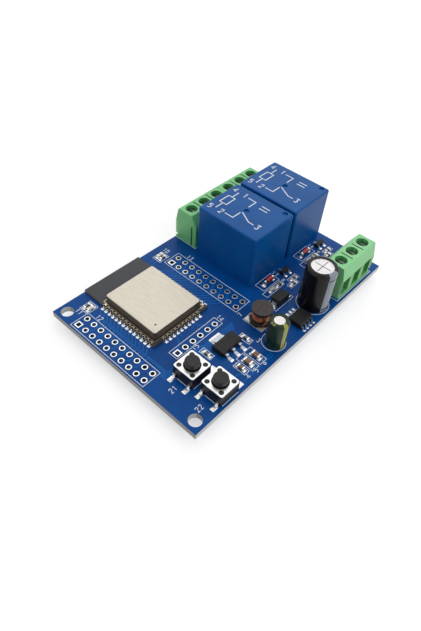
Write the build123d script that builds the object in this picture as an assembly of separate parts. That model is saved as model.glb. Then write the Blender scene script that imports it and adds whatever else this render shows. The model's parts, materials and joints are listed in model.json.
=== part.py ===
from build123d import *
from math import cos, dist, pi, radians, sin, sqrt
import os

os.makedirs("parts", exist_ok=True)

# A smart relay module: a blue circuit board that carries a radio module, two
# relays, three screw terminal blocks, two push buttons and a small power supply.
# Millimetres. X runs across the board, Y along it, Z up. The origin is the middle
# of the board's outline, at the level of the solder tails that the board stands on.

# Clearances and overruns shared by all pieces
cut_overrun = 1.0
seat_clearance = 0.05
slide_clearance = 0.08
pin_hole_clearance = 0.12

# Circuit board
board_thickness = 1.6
tail_reach = 2.0
mount_hole_diameter = 3.2
mount_hole_edge_distance = 2.5

# Plated holes for pin headers
header_pitch = 2.54
header_hole_diameter = 1.0
double_header_columns = 10
single_header_holes = 6
near_header_edge_distance = 1.85
near_header_left_distance = 7.7
far_header_left_distance = 7.38
single_header_gap = 4.72
single_header_start_gap = 2.75

# Radio module
module_length = 25.5
module_width = 18.0
module_board_thickness = 0.8
module_edge_inset = 0.15
module_side_gap = 5.26
module_far_gap = 5.5
castellation_pitch = 1.27
castellation_radius = 0.3
side_castellations = 14
end_castellations = 10
side_castellation_start = 1.4
shield_length = 17.5
shield_width = 15.6
shield_height = 2.3
shield_wall = 0.2
shield_corner_radius = 0.7
shield_edge_radius = 0.35
shield_end_gap = 1.2
processor_side = 6.0
processor_height = 0.85
processor_x_share = 0.12
memory_length = 5.2
memory_width = 4.0
memory_height = 1.5
memory_x_share = -0.3
crystal_length = 3.2
crystal_width = 2.5
crystal_height = 0.75
crystal_x_share = 0.36
inner_part_y_share = 0.24

# Relays
relay_length = 19.0
relay_width = 15.4
relay_height = 15.3
relay_count = 2
relay_gap = 0.9
relay_back_gap = 0.9
relay_front_gap = 5.21
relay_case_wall = 0.9
relay_corner_radius = 0.6
relay_edge_radius = 0.4
relay_dimple_diameter = 1.5
relay_dimple_depth = 0.35
relay_dimple_inset_x = 1.8
relay_dimple_inset_y = 1.4
relay_base_thickness = 1.6
relay_pin_width = 0.9
relay_pin_thickness = 0.5
relay_end_pin_inset = 2.4
relay_side_pin_inset = 1.7
relay_coil_pin_step = 2.0
relay_coil_pin_width = 0.6
relay_coil_pin_rise = 1.6
yoke_thickness = 1.2
yoke_width = 8.0
yoke_end_gap = 1.0
core_diameter = 3.4
core_head_diameter = 5.6
core_head_height = 0.6
yoke_foot_margin = 0.7
bobbin_wall = 0.6
bobbin_flange_thickness = 0.7
bobbin_flange_length = 9.8
bobbin_flange_width = 10.4
coil_flange_margin = 0.2
bobbin_yoke_gap = 0.9
armature_thickness = 0.9
armature_width = 7.4
armature_reach = 3.2
armature_angle = 2.2
armature_air = 0.05
blade_thickness = 0.25
blade_width = 4.4
blade_tip_width = 2.2
contact_diameter = 1.8
contact_height = 0.4
fixed_strip_thickness = 0.5
fixed_strip_width = 2.0
contact_rest_gap = 0.06
contact_roof_gap = 0.4

# Screw terminal blocks, three ways each
terminal_pitch = 5.0
terminal_ways = 3
terminal_depth = 7.6
terminal_height = 9.9
terminal_front_lean = 0.9
terminal_front_knee = 5.6
terminal_back_chamfer = 1.8
terminal_back_knee = 6.8
terminal_top_radius = 0.35
terminal_relay_gap = 1.5
terminal_back_edge_gap = 1.4
supply_terminal_edge_gap = 0.9
supply_terminal_back_gap = 4.45
screw_front_distance = 3.45
screw_head_diameter = 3.1
screw_head_height = 1.35
screw_head_recess = 1.0
screw_shank_diameter = 2.4
screw_slot_width = 0.5
screw_slot_depth = 0.6
screw_neck_clearance = 0.3
screw_ledge = 0.5
screw_pitch = 0.45
screw_turns = 4.5
chamber_width = 4.0
chamber_floor = 0.45
clamp_width = 3.7
clamp_length = 3.4
clamp_side_wall = 0.5
clamp_roof = 0.7
tongue_width = 2.3
tongue_thickness = 0.6
terminal_pin_width = 0.9
terminal_pin_thickness = 0.6
entry_width = 3.8
entry_height = 5.1
entry_flare = 0.45
divider_slot_width = 0.35
divider_slot_depth = 0.8
divider_slot_margin = 0.7
dovetail_width = 1.0
dovetail_depth = 0.7
dovetail_height_share = 0.7
dovetail_back_distance = 1.5
dovetail_flare = 0.2
core_hole_diameter = 0.8
core_hole_depth = 0.8
core_hole_height = 1.1
output_terminal_blocks = 2

# Push buttons
button_side = 6.0
button_body_height = 3.1
button_cover_thickness = 0.3
button_cover_corner_radius = 0.5
button_cover_hole_diameter = 4.1
button_rivet_diameter = 1.1
button_rivet_inset = 0.95
button_well_diameter = 4.7
plunger_diameter = 3.5
plunger_flange_diameter = 4.4
plunger_flange_thickness = 0.6
plunger_rise = 1.6
plunger_edge_radius = 0.25
plunger_travel = 0.25
dome_thickness = 0.1
dome_rise = 0.45
button_lead_width = 0.7
button_lead_thickness = 0.2
button_lead_reach = 1.6
button_lead_foot = 0.9
button_lead_pitch = 4.5
button_lead_height = 1.0
inner_button_right_distance = 11.25
inner_button_front_distance = 10.5
outer_button_right_distance = 3.9
outer_button_front_distance = 11.6

# Electrolytic capacitors
large_capacitor_diameter = 8.0
large_capacitor_height = 12.4
large_capacitor_lead_pitch = 3.5
large_capacitor_right_distance = 5.0
large_capacitor_terminal_gap = 1.6
small_capacitor_diameter = 5.0
small_capacitor_height = 7.8
small_capacitor_lead_pitch = 2.0
small_capacitor_right_distance = 3.7
small_capacitor_converter_gap = 5.05
capacitor_standoff = 0.3
capacitor_lead_diameter = 0.55
sleeve_thickness = 0.15
sleeve_lip_share = 0.14
can_wall = 0.3
can_edge_radius = 0.6
can_groove_depth = 0.35
can_groove_width = 1.0
vent_score_least_diameter = 6.3
vent_score_width = 0.2
vent_score_depth = 0.12
vent_score_length_share = 0.6
bung_height = 1.7

# Drum inductor, wound with one wire whose ends come down on two corners of its base
inductor_diameter = 5.4
inductor_base_side = 5.7
inductor_base_height = 0.4
inductor_flange = 0.6
winding_wire_diameter = 0.45
winding_gap = 0.45
winding_quarter_turns = 9
winding_rim = 0.28
winding_hub_gap = 0.12
winding_end_gap = 0.2
winding_bend_share = 1.02
inductor_right_distance = 10.6
inductor_converter_gap = 1.65

# Power chips: a regulator with a cooling tab, a switching converter, a rectifier
regulator_length = 6.5
regulator_width = 3.5
regulator_height = 1.6
regulator_lead_pitch = 2.3
regulator_lead_width = 0.75
regulator_tab_width = 3.0
regulator_span = 7.0
regulator_right_distance = 11.05
regulator_front_distance = 22.0
converter_length = 4.9
converter_width = 3.9
converter_height = 1.5
converter_lead_pitch = 1.27
converter_lead_width = 0.42
converter_leads_per_side = 4
converter_span = 6.0
converter_right_distance = 3.75
converter_capacitor_gap = 0.95
rectifier_length = 4.3
rectifier_width = 2.6
rectifier_height = 2.2
rectifier_span = 5.2
rectifier_end_width = 1.5
rectifier_right_distance = 11.35
rectifier_converter_offset = 1.8
transistor_length = 2.9
transistor_width = 1.3
transistor_height = 1.0
transistor_span = 2.4
transistor_lead_pitch = 1.9
transistor_lead_width = 0.42
transistor_relay_gap = 2.8
transistor_relay_offset = 3.75
chip_lead_thickness = 0.2
chip_lead_foot = 0.5
chip_belly_gap = 0.1
chip_edge_chamfer = 0.25

# Glass diodes that lie beside the relays
glass_diode_length = 3.5
glass_diode_diameter = 1.5
glass_diode_cap_length = 0.45
glass_diode_cap_step = 0.06
glass_diode_relay_gap = 2.15
glass_diode_relay_offset = -2.6

# Chip resistors, ceramic capacitors and indicator lamps
small_chip_length = 1.6
small_chip_width = 0.8
small_chip_height = 0.45
medium_chip_length = 2.0
medium_chip_width = 1.25
medium_chip_height = 0.85
chip_end_length = 0.3
chip_end_step = 0.03
lamp_height = 0.6
lamp_lens_share = 0.55

# Places of the small parts at the front right: how far in from the right edge and
# how far back from the front edge each one's middle lies
right_resistor_right_distances = (12.65, 9.4)
right_resistor_front_distances = (16.95, 27.05)
right_small_capacitor_right_distance = 4.45
right_small_capacitor_front_distance = 19.45
right_medium_capacitor_right_distances = (4.35, 4.3)
right_medium_capacitor_front_distances = (21.85, 24.65)

# Places of the small parts beside each relay: gap from the relay's side and
# offset from the relay's middle along the board
driver_resistor_gaps = (4.9, 6.0, 7.25)
driver_resistor_offsets = (-1.25, 3.5, 1.8)
driver_lamp_gap = 4.9
driver_lamp_offset = -4.1
driver_strip_width = 11.4

# Lamps and their resistors at the left edge: the power lamp near the front holes
# and the radio lamp beside the other long row of holes
power_pair_left_distances = (4.4, 5.7)
power_pair_front_distance = 7.0
radio_pair_left_distances = (3.2, 4.3)
radio_pair_row_offset = -0.5


# Heights that follow from the sizes above
board_underside = tail_reach
board_top = board_underside + board_thickness

# The board is as long as what it carries along its left side, and as wide as the
# relays with the terminal blocks on both sides of them
board_length = (near_header_edge_distance + header_pitch + module_side_gap + module_width
                + module_far_gap + header_pitch + relay_front_gap
                + relay_count * relay_width + (relay_count - 1) * relay_gap + relay_back_gap)
board_width = (terminal_depth + terminal_relay_gap + relay_length + driver_strip_width
               + terminal_depth + supply_terminal_edge_gap)
left_edge = -board_width / 2
right_edge = board_width / 2
front_edge = -board_length / 2
back_edge = board_length / 2

near_header_x = left_edge + near_header_left_distance
near_header_y = front_edge + near_header_edge_distance
module_front = near_header_y + header_pitch + module_side_gap
module_middle_y = module_front + module_width / 2
module_end_x = left_edge + module_edge_inset + module_length
far_header_x = left_edge + far_header_left_distance
far_header_y = module_front + module_width + module_far_gap
single_header_x = module_end_x + single_header_gap
single_header_y = module_front + single_header_start_gap

relay_x = left_edge + terminal_depth + terminal_relay_gap + relay_length / 2
relay_side_x = relay_x + relay_length / 2
relay_last_y = back_edge - relay_back_gap - relay_width / 2
relay_ys = [relay_last_y - step * (relay_width + relay_gap) for step in reversed(range(relay_count))]


def block(x_size, y_size, z_size, x=0, y=0, z=0):
    """A box that stands on height z with its middle over x, y."""
    return Pos(x, y, z + z_size / 2) * Box(x_size, y_size, z_size)


def post(diameter, height, x=0, y=0, z=0):
    """A round post that stands on height z."""
    return Pos(x, y, z + height / 2) * Cylinder(diameter / 2, height)


def side_prism(points, length):
    """A prism along Y, centred on it, whose X-Z outline is a list of points."""
    outline = make_face(Polyline(*[(x, 0, z) for x, z in points], close=True))
    return extrude(outline, amount=length / 2, dir=(0, 1, 0), both=True)


def vertical_edges(shape):
    return shape.edges().filter_by(Axis.Z)


def top_edges(shape):
    """The edges round the highest flat face."""
    return shape.faces().sort_by(Axis.Z)[-1].edges()


def centred_row(count, pitch):
    """Offsets of evenly spaced things from the middle of their row."""
    return [(step - (count - 1) / 2) * pitch for step in range(count)]


def write(name, *solids):
    """Write one node: a single solid, or a group of separate solids."""
    shape = solids[0] if len(solids) == 1 else Compound(children=list(solids))
    export_step(shape, f"parts/{name}.step")


def front_right(right_distance, front_distance):
    """X and Y of a place given from the board's right and front edges."""
    return right_edge - right_distance, front_edge + front_distance


# Circuit board and its plated holes

def header_holes():
    """Middles of all header holes."""
    places = []
    for row in (0, header_pitch):
        for column in range(double_header_columns):
            step = column * header_pitch
            places.append((near_header_x + step, near_header_y + row))
            places.append((far_header_x + step, far_header_y + row))
    for hole in range(single_header_holes):
        places.append((single_header_x, single_header_y + hole * header_pitch))
    return places


def mount_holes():
    """Middles of the two screw holes at the front corners."""
    y = front_edge + mount_hole_edge_distance
    return [(left_edge + mount_hole_edge_distance, y), (right_edge - mount_hole_edge_distance, y)]


def capacitor_lead_places():
    places = []
    for x, y, pitch in ((large_capacitor_x, large_capacitor_y, large_capacitor_lead_pitch),
                        (small_capacitor_x, small_capacitor_y, small_capacitor_lead_pitch)):
        places += [(x, y - pitch / 2), (x, y + pitch / 2)]
    return places


def through_hole(diameter, x, y):
    return post(diameter, board_thickness + 2 * cut_overrun, x, y, board_underside - cut_overrun)


def through_slot(x_size, y_size, x, y):
    return block(x_size, y_size, board_thickness + 2 * cut_overrun, x, y,
                 board_underside - cut_overrun)


def circuit_board():
    board = block(board_width, board_length, board_thickness, z=board_underside)
    widening = 2 * pin_hole_clearance
    cuts = [through_hole(mount_hole_diameter, x, y) for x, y in mount_holes()]
    cuts += [through_hole(header_hole_diameter, x, y) for x, y in header_holes()]
    cuts += [through_hole(capacitor_lead_diameter + widening, x, y)
             for x, y in capacitor_lead_places()]
    cuts += [through_slot(relay_pin_thickness + widening, relay_pin_width + widening, x, y)
             for x, y in relay_flat_pin_places()]
    cuts += [through_slot(relay_coil_pin_width + widening, relay_coil_pin_width + widening, x, y)
             for x, y in relay_coil_pin_places()]
    cuts += [through_slot(terminal_pin_thickness + widening, terminal_pin_width + widening, x, y)
             for x, y in terminal_pin_places()]
    return board - cuts


# Radio module: its own small board with half-round plated notches along three
# edges, a stamped shield over the chips, and the chips inside

def notch_places():
    """Middles of the half-round notches along the module's two long sides and its end."""
    places = []
    for notch in range(side_castellations):
        x = module_end_x - side_castellation_start - notch * castellation_pitch
        places += [(x, module_front), (x, module_front + module_width)]
    for offset in centred_row(end_castellations, castellation_pitch):
        places.append((module_end_x, module_middle_y + offset))
    return places


def module_board():
    board = block(module_length, module_width, module_board_thickness,
                  module_end_x - module_length / 2, module_middle_y, board_top)
    notches = [post(2 * castellation_radius, module_board_thickness + 2 * cut_overrun, x, y,
                    board_top - cut_overrun) for x, y in notch_places()]
    return board - notches


def shield_middle():
    return module_end_x - shield_end_gap - shield_length / 2, module_middle_y


def module_shield():
    x, y = shield_middle()
    base = board_top + module_board_thickness
    can = block(shield_length, shield_width, shield_height, x, y, base)
    can = fillet(vertical_edges(can), shield_corner_radius)
    can = fillet(top_edges(can), shield_edge_radius)
    hollow = block(shield_length - 2 * shield_wall, shield_width - 2 * shield_wall,
                   shield_height - shield_wall + cut_overrun, x, y, base - cut_overrun)
    hollow = fillet(vertical_edges(hollow), shield_corner_radius - shield_wall)
    return can - hollow


def module_chips():
    """Processor, memory and crystal, on the module's board under the shield."""
    x, y = shield_middle()
    base = board_top + module_board_thickness
    offset_y = inner_part_y_share * shield_width
    processor = block(processor_side, processor_side, processor_height,
                      x + processor_x_share * shield_length, y - offset_y / 2, base)
    memory = block(memory_length, memory_width, memory_height,
                   x + memory_x_share * shield_length, y + offset_y / 2, base)
    crystal = block(crystal_length, crystal_width, crystal_height,
                    x + crystal_x_share * shield_length, y + offset_y, base)
    return processor, memory, crystal


# Relays. Each stands with its long side across the board. Its coil is upright, the
# yoke rises behind it, and the armature pivots on the yoke's top. A relay is made
# round its own middle with its contact end at +X, and turned to face the terminals.

end_pin_x = -relay_length / 2 + relay_end_pin_inset
coil_pin_x = end_pin_x + relay_coil_pin_step
contact_pin_x = relay_length / 2 - relay_end_pin_inset
side_pin_y = relay_width / 2 - relay_side_pin_inset
inner_length = relay_length - 2 * relay_case_wall
inner_width = relay_width - 2 * relay_case_wall
yoke_back_x = -inner_length / 2 + yoke_end_gap
core_x = yoke_back_x + yoke_thickness + bobbin_yoke_gap + bobbin_flange_length / 2
coil_diameter = bobbin_flange_length - 2 * coil_flange_margin
common_strip_x = yoke_back_x - seat_clearance - fixed_strip_thickness / 2
blade_tip_reach = contact_pin_x + contact_diameter / 2 - yoke_back_x
tip_rise = blade_tip_reach * sin(radians(armature_angle))

# Heights in a relay, from the roof down to the coil and from the base up to it
upper_contact_face = (relay_height - relay_case_wall - contact_roof_gap - fixed_strip_thickness
                      - contact_height)
blade_top = upper_contact_face - contact_rest_gap - tip_rise - contact_height
blade_bottom = blade_top - blade_thickness
armature_bottom = blade_bottom - armature_thickness
pole_face = armature_bottom - armature_air
coil_top = pole_face - core_head_height - seat_clearance - bobbin_flange_thickness
foot_bottom = relay_base_thickness + seat_clearance
foot_top = foot_bottom + yoke_thickness
coil_bottom = foot_top + seat_clearance + bobbin_flange_thickness


def relay_flat_pin_places():
    """The common pin and the two contact pins of every relay, on the board."""
    places = []
    for y in relay_ys:
        places += [(relay_x - end_pin_x, y), (relay_x - contact_pin_x, y - side_pin_y),
                   (relay_x - contact_pin_x, y + side_pin_y)]
    return places


def relay_coil_pin_places():
    return [(relay_x - coil_pin_x, y + side * side_pin_y) for y in relay_ys for side in (-1, 1)]


def relay_case():
    case = block(relay_length, relay_width, relay_height)
    case = fillet(vertical_edges(case), relay_corner_radius)
    case = fillet(top_edges(case), relay_edge_radius)
    hollow = block(inner_length, inner_width, relay_height - relay_case_wall + cut_overrun,
                   z=-cut_overrun)
    dimple = post(relay_dimple_diameter, relay_dimple_depth + cut_overrun,
                  z=relay_height - relay_dimple_depth)
    corner_x = relay_length / 2 - relay_dimple_inset_x
    corner_y = relay_width / 2 - relay_dimple_inset_y
    return case - hollow - dimple - Pos(-corner_x, -corner_y, 0) * dimple


def relay_base():
    base = block(inner_length - 2 * seat_clearance, inner_width - 2 * seat_clearance,
                 relay_base_thickness)
    slot_width = relay_pin_width + 2 * seat_clearance
    slot_height = relay_base_thickness + 2 * cut_overrun
    common_slot_end = end_pin_x + relay_pin_thickness / 2 + seat_clearance
    common_slot_start = common_strip_x - fixed_strip_thickness / 2 - seat_clearance
    slots = [block(common_slot_end - common_slot_start, slot_width, slot_height,
                   (common_slot_start + common_slot_end) / 2, 0, -cut_overrun)]
    for side in (-1, 1):
        slots.append(block(relay_pin_thickness + 2 * seat_clearance, slot_width, slot_height,
                           contact_pin_x, side * side_pin_y, -cut_overrun))
        slots.append(block(relay_coil_pin_width + 2 * seat_clearance,
                           relay_coil_pin_width + 2 * seat_clearance, slot_height,
                           coil_pin_x, side * side_pin_y, -cut_overrun))
    return base - slots


def relay_yoke():
    """An angle of iron: a foot under the coil and an upright leg behind it."""
    foot_end = core_x + core_diameter / 2 + yoke_foot_margin
    outline = [(yoke_back_x, foot_bottom), (foot_end, foot_bottom), (foot_end, foot_top),
               (yoke_back_x + yoke_thickness, foot_top),
               (yoke_back_x + yoke_thickness, pole_face), (yoke_back_x, pole_face)]
    yoke = side_prism(outline, yoke_width)
    return yoke - post(core_diameter + 2 * seat_clearance, yoke_thickness + 2 * cut_overrun,
                       core_x, 0, foot_bottom - cut_overrun)


def relay_core():
    stem = post(core_diameter, pole_face - foot_bottom, core_x, 0, foot_bottom)
    return stem + post(core_head_diameter, core_head_height, core_x, 0, pole_face - core_head_height)


def relay_bobbin():
    bore = core_diameter + 2 * seat_clearance
    tube_diameter = bore + 2 * bobbin_wall
    height = coil_top - coil_bottom + 2 * bobbin_flange_thickness
    base = coil_bottom - bobbin_flange_thickness
    tube = post(tube_diameter, height, core_x, 0, base)
    lower = block(bobbin_flange_length, bobbin_flange_width, bobbin_flange_thickness, core_x, 0, base)
    upper = block(bobbin_flange_length, bobbin_flange_width, bobbin_flange_thickness, core_x, 0,
                  coil_top)
    return tube + lower + upper - post(bore, height + 2 * cut_overrun, core_x, 0, base - cut_overrun)


def relay_coil():
    bore = core_diameter + 2 * (bobbin_wall + 2 * seat_clearance)
    height = coil_top - coil_bottom - 2 * seat_clearance
    base = coil_bottom + seat_clearance
    coil = post(coil_diameter, height, core_x, 0, base)
    return coil - post(bore, height + 2 * cut_overrun, core_x, 0, base - cut_overrun)


def swung_open(shape):
    """Turn a closed armature piece up about the yoke's top edge to its rest position."""
    pivot = Axis((yoke_back_x, 0, pole_face), (0, 1, 0))
    return shape.rotate(pivot, -armature_angle)


def relay_armature():
    """An iron plate over the pole, at rest tilted away from it."""
    length = core_x + armature_reach - yoke_back_x - armature_air
    plate = block(length, armature_width, armature_thickness, yoke_back_x + armature_air + length / 2,
                  0, armature_bottom)
    return swung_open(plate)


def relay_blade():
    """The springy contact blade on the armature, with a contact button through its tip."""
    back = yoke_back_x + armature_air
    neck = core_x + armature_reach
    tip = contact_pin_x + contact_diameter / 2
    outline = make_face(Polyline((back, -blade_width / 2), (neck, -blade_width / 2),
                                 (tip, -blade_tip_width / 2), (tip, blade_tip_width / 2),
                                 (neck, blade_width / 2), (back, blade_width / 2), close=True))
    blade = Pos(0, 0, blade_bottom) * extrude(outline, amount=blade_thickness)
    button = post(contact_diameter, blade_thickness + 2 * contact_height, contact_pin_x, 0,
                  blade_bottom - contact_height)
    return swung_open(blade + button)


def contact_strip(side, underside, button_z):
    """A fixed contact: a pin, an upright strip at the side and a finger to the blade's tip."""
    pin = block(relay_pin_thickness, relay_pin_width, board_top + foot_bottom, contact_pin_x,
                side * side_pin_y, -board_top)
    upright = block(fixed_strip_thickness, relay_pin_width, underside + fixed_strip_thickness
                    - foot_bottom, contact_pin_x, side * side_pin_y, foot_bottom)
    reach = side_pin_y + relay_pin_width / 2 + contact_diameter / 2
    finger = block(fixed_strip_width, reach, fixed_strip_thickness, contact_pin_x,
                   side * (side_pin_y + relay_pin_width / 2 - reach / 2), underside)
    button = post(contact_diameter, contact_height, contact_pin_x, 0, button_z)
    return pin + upright + finger + button


def relay_fixed_contacts():
    """The lower contact, which the closed blade meets, and the upper one, met at rest."""
    lower_face = blade_bottom - contact_height - contact_rest_gap
    lower_button = lower_face - contact_height
    lower = contact_strip(-1, lower_button - fixed_strip_thickness, lower_button)
    upper = contact_strip(1, upper_contact_face + contact_height, upper_contact_face)
    return lower, upper


def relay_pins():
    """The common pin with its strip up the yoke's back, and the two coil pins."""
    strip_top = (foot_top + pole_face) / 2
    strip = block(fixed_strip_thickness, fixed_strip_width, strip_top - foot_bottom,
                  common_strip_x, 0, foot_bottom)
    bridge_bottom = relay_base_thickness - fixed_strip_thickness
    root = block(fixed_strip_thickness, relay_pin_width, foot_bottom - bridge_bottom,
                 common_strip_x, 0, bridge_bottom)
    bridge_length = end_pin_x - common_strip_x
    bridge = block(bridge_length, relay_pin_width, fixed_strip_thickness,
                   common_strip_x + bridge_length / 2, 0, bridge_bottom)
    pin = block(relay_pin_thickness, relay_pin_width, board_top + relay_base_thickness, end_pin_x, 0,
                -board_top)
    coil_pin = block(relay_coil_pin_width, relay_coil_pin_width,
                     board_top + relay_base_thickness + relay_coil_pin_rise, coil_pin_x, 0,
                     -board_top)
    return [strip + root + bridge + pin] + [Pos(0, side * side_pin_y, 0) * coil_pin
                                            for side in (-1, 1)]


def at_relay(shape, y):
    """Put a relay piece that was made round its own middle in its place on the board."""
    return Pos(relay_x, y, board_top) * Rot(0, 0, 180) * shape


# Screw terminal blocks. Every piece is made round one way's screw, with +X
# pointing out of the wire entry and Z = 0 on the board.

front_x = screw_front_distance
rear_x = front_x - terminal_depth
head_top = terminal_height - screw_head_recess
head_bottom = head_top - screw_head_height
chamber_top = head_bottom - seat_clearance - screw_ledge
clamp_travel = screw_turns * screw_pitch
clamp_top_rest = chamber_top - seat_clearance - clamp_travel
tongue_top = clamp_top_rest - clamp_roof - seat_clearance
tongue_bottom = tongue_top - tongue_thickness
clamp_bottom_rest = chamber_floor + seat_clearance
chamber_front = clamp_length / 2 + slide_clearance
pin_x = -clamp_length / 2 - slide_clearance - terminal_pin_thickness / 2
chamber_back = pin_x - terminal_pin_thickness / 2 - seat_clearance
block_length = terminal_ways * terminal_pitch
way_offsets = centred_row(terminal_ways, terminal_pitch)

output_face_x = left_edge
output_screw_x = output_face_x + screw_front_distance
output_last_y = back_edge - terminal_back_edge_gap - block_length / 2
supply_screw_x = right_edge - supply_terminal_edge_gap - screw_front_distance
supply_y = back_edge - supply_terminal_back_gap - block_length / 2

# The right column runs down from the supply terminal: large capacitor, converter,
# small capacitor, with the inductor and the rectifier beside them
large_capacitor_x = right_edge - large_capacitor_right_distance
large_capacitor_y = (supply_y - block_length / 2 - large_capacitor_terminal_gap
                     - large_capacitor_diameter / 2)
converter_x = right_edge - converter_right_distance
converter_y = (large_capacitor_y - large_capacitor_diameter / 2 - converter_capacitor_gap
               - converter_length / 2)
small_capacitor_x = right_edge - small_capacitor_right_distance
small_capacitor_y = (converter_y - converter_length / 2 - small_capacitor_converter_gap
                     - small_capacitor_diameter / 2)
inductor_x = right_edge - inductor_right_distance
inductor_y = (converter_y - converter_length / 2 - inductor_converter_gap
              - inductor_base_side / 2)
rectifier_x = right_edge - rectifier_right_distance
rectifier_y = converter_y + rectifier_converter_offset


def terminal_blocks():
    """Screw line X, middle Y and turn about Z of each block, in the order of their numbers."""
    outputs = [(output_screw_x, output_last_y - step * (block_length + 2 * seat_clearance), 180)
               for step in reversed(range(output_terminal_blocks))]
    return outputs + [(supply_screw_x, supply_y, 0)]


def terminal_way_places():
    """Screw X, screw Y and turn of every way, block by block."""
    places = []
    for x, y, turn in terminal_blocks():
        direction = -1 if turn else 1
        places += [(x, y + direction * offset, turn) for offset in way_offsets]
    return places


def terminal_pin_places():
    return [(x + (-pin_x if turn else pin_x), y) for x, y, turn in terminal_way_places()]


def terminal_housing():
    """A moulded block: a leaning front with wire entries, a chamfered back, a screw well and a
    clamp chamber for each way, slots between the ways, and a dovetail that joins block to block."""
    outline = [(rear_x, 0), (front_x, 0), (front_x, terminal_front_knee),
               (front_x - terminal_front_lean, terminal_height),
               (rear_x + terminal_back_chamfer, terminal_height), (rear_x, terminal_back_knee)]
    body = side_prism(outline, block_length)
    body = fillet(top_edges(body).filter_by(Axis.Y), terminal_top_radius)
    cuts = []
    for offset in way_offsets:
        cuts += [Pos(0, offset, 0) * cut for cut in terminal_way_cuts()]
    slot_start = rear_x + terminal_back_chamfer + divider_slot_margin
    slot_end = front_x - terminal_front_lean - divider_slot_margin
    for offset in way_offsets[:-1]:
        cuts.append(block(slot_end - slot_start, divider_slot_width, divider_slot_depth + cut_overrun,
                          (slot_start + slot_end) / 2, offset + terminal_pitch / 2,
                          terminal_height - divider_slot_depth))
    groove = dovetail(seat_clearance)
    cuts.append(Pos(0, -block_length / 2, 0) * groove)
    return body - cuts


def dovetail(clearance):
    """The groove at a block's end, where the next block's rib would slide in."""
    half = dovetail_width / 2 + clearance
    depth = dovetail_depth + clearance
    middle = rear_x + dovetail_back_distance
    outline = make_face(Polyline((middle - half, -cut_overrun), (middle - half, 0),
                                 (middle - half - dovetail_flare, depth),
                                 (middle + half + dovetail_flare, depth),
                                 (middle + half, 0), (middle + half, -cut_overrun), close=True))
    height = dovetail_height_share * terminal_height
    return Pos(0, 0, -cut_overrun) * extrude(outline, amount=height + cut_overrun)


def terminal_way_cuts():
    """What one way's screw, clamp, pin and wire take out of the housing."""
    well = post(screw_head_diameter + 2 * slide_clearance, screw_head_recess + screw_head_height
                + seat_clearance + cut_overrun, 0, 0, head_bottom - seat_clearance)
    neck = post(screw_shank_diameter + screw_neck_clearance, screw_ledge + 2 * cut_overrun, 0, 0,
                chamber_top - cut_overrun)
    chamber = block(chamber_front - chamber_back, chamber_width, chamber_top - chamber_floor,
                    (chamber_front + chamber_back) / 2, 0, chamber_floor)
    entry_length = front_x - chamber_front + 2 * cut_overrun
    entry = block(entry_length, entry_width, entry_height,
                  chamber_front - cut_overrun + entry_length / 2, 0, chamber_floor)
    flare_height = entry_height + entry_flare
    flare = block(2 * entry_flare, entry_width + 2 * entry_flare, flare_height,
                  front_x + entry_flare / 2, 0, chamber_floor)
    leg = block(terminal_pin_thickness + 2 * seat_clearance, terminal_pin_width + 2 * seat_clearance,
                chamber_floor + 2 * cut_overrun, pin_x, 0, -cut_overrun)
    core_hole = Pos(front_x - core_hole_depth, entry_width / 2 + core_hole_diameter / 2, 0)
    core_hole = core_hole * Pos(0, 0, core_hole_height) * Rot(0, 90, 0)
    core_hole = core_hole * Cylinder(core_hole_diameter / 2, 2 * core_hole_depth)
    return [well, neck, chamber, entry, flare, leg, core_hole]


def terminal_screw():
    """A slotted screw whose tip stands on the tongue."""
    head = post(screw_head_diameter, screw_head_height, 0, 0, head_bottom)
    slot = block(screw_head_diameter + 2 * cut_overrun, screw_slot_width,
                 screw_slot_depth + cut_overrun, 0, 0, head_top - screw_slot_depth)
    shank = post(screw_shank_diameter, head_bottom - tongue_top - seat_clearance, 0, 0,
                 tongue_top + seat_clearance)
    return head + shank - slot


def terminal_clamp():
    """A square ring that the screw draws up, so that its floor grips the wire."""
    ring = block(clamp_length, clamp_width, clamp_top_rest - clamp_bottom_rest, 0, 0,
                 clamp_bottom_rest)
    window = block(clamp_length + 2 * cut_overrun, clamp_width - 2 * clamp_side_wall,
                   clamp_top_rest - clamp_roof - clamp_bottom_rest - clamp_side_wall, 0, 0,
                   clamp_bottom_rest + clamp_side_wall)
    thread = post(screw_shank_diameter + 2 * slide_clearance, clamp_roof + 2 * cut_overrun, 0, 0,
                  clamp_top_rest - clamp_roof - cut_overrun)
    return ring - window - thread


def terminal_pin():
    """A bent strip: a tongue through the clamp's window and a leg down through the board."""
    tongue_end = clamp_length / 2
    tongue_back = pin_x - terminal_pin_thickness / 2
    tongue = block(tongue_end - tongue_back, tongue_width, tongue_thickness,
                   (tongue_end + tongue_back) / 2, 0, tongue_bottom)
    leg = block(terminal_pin_thickness, terminal_pin_width, tongue_bottom + board_top, pin_x, 0,
                -board_top)
    return tongue + leg


def at_way(shape, x, y, turn):
    """Put a terminal piece on the board over one screw place, turned with its block."""
    return Pos(x, y, board_top) * Rot(0, 0, turn) * shape


# Push buttons

button_top = button_body_height + button_cover_thickness
rivet_offset = button_side / 2 - button_rivet_inset
plunger_flange_top = button_body_height - seat_clearance
plunger_flange_bottom = plunger_flange_top - plunger_flange_thickness
dome_top = plunger_flange_bottom - plunger_travel - seat_clearance
button_well_floor = dome_top - dome_rise - dome_thickness


def button_places():
    return [front_right(inner_button_right_distance, inner_button_front_distance),
            front_right(outer_button_right_distance, outer_button_front_distance)]


def rivets(diameter, height, z):
    return [post(diameter, height, x * rivet_offset, y * rivet_offset, z)
            for x in (-1, 1) for y in (-1, 1)]


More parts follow.
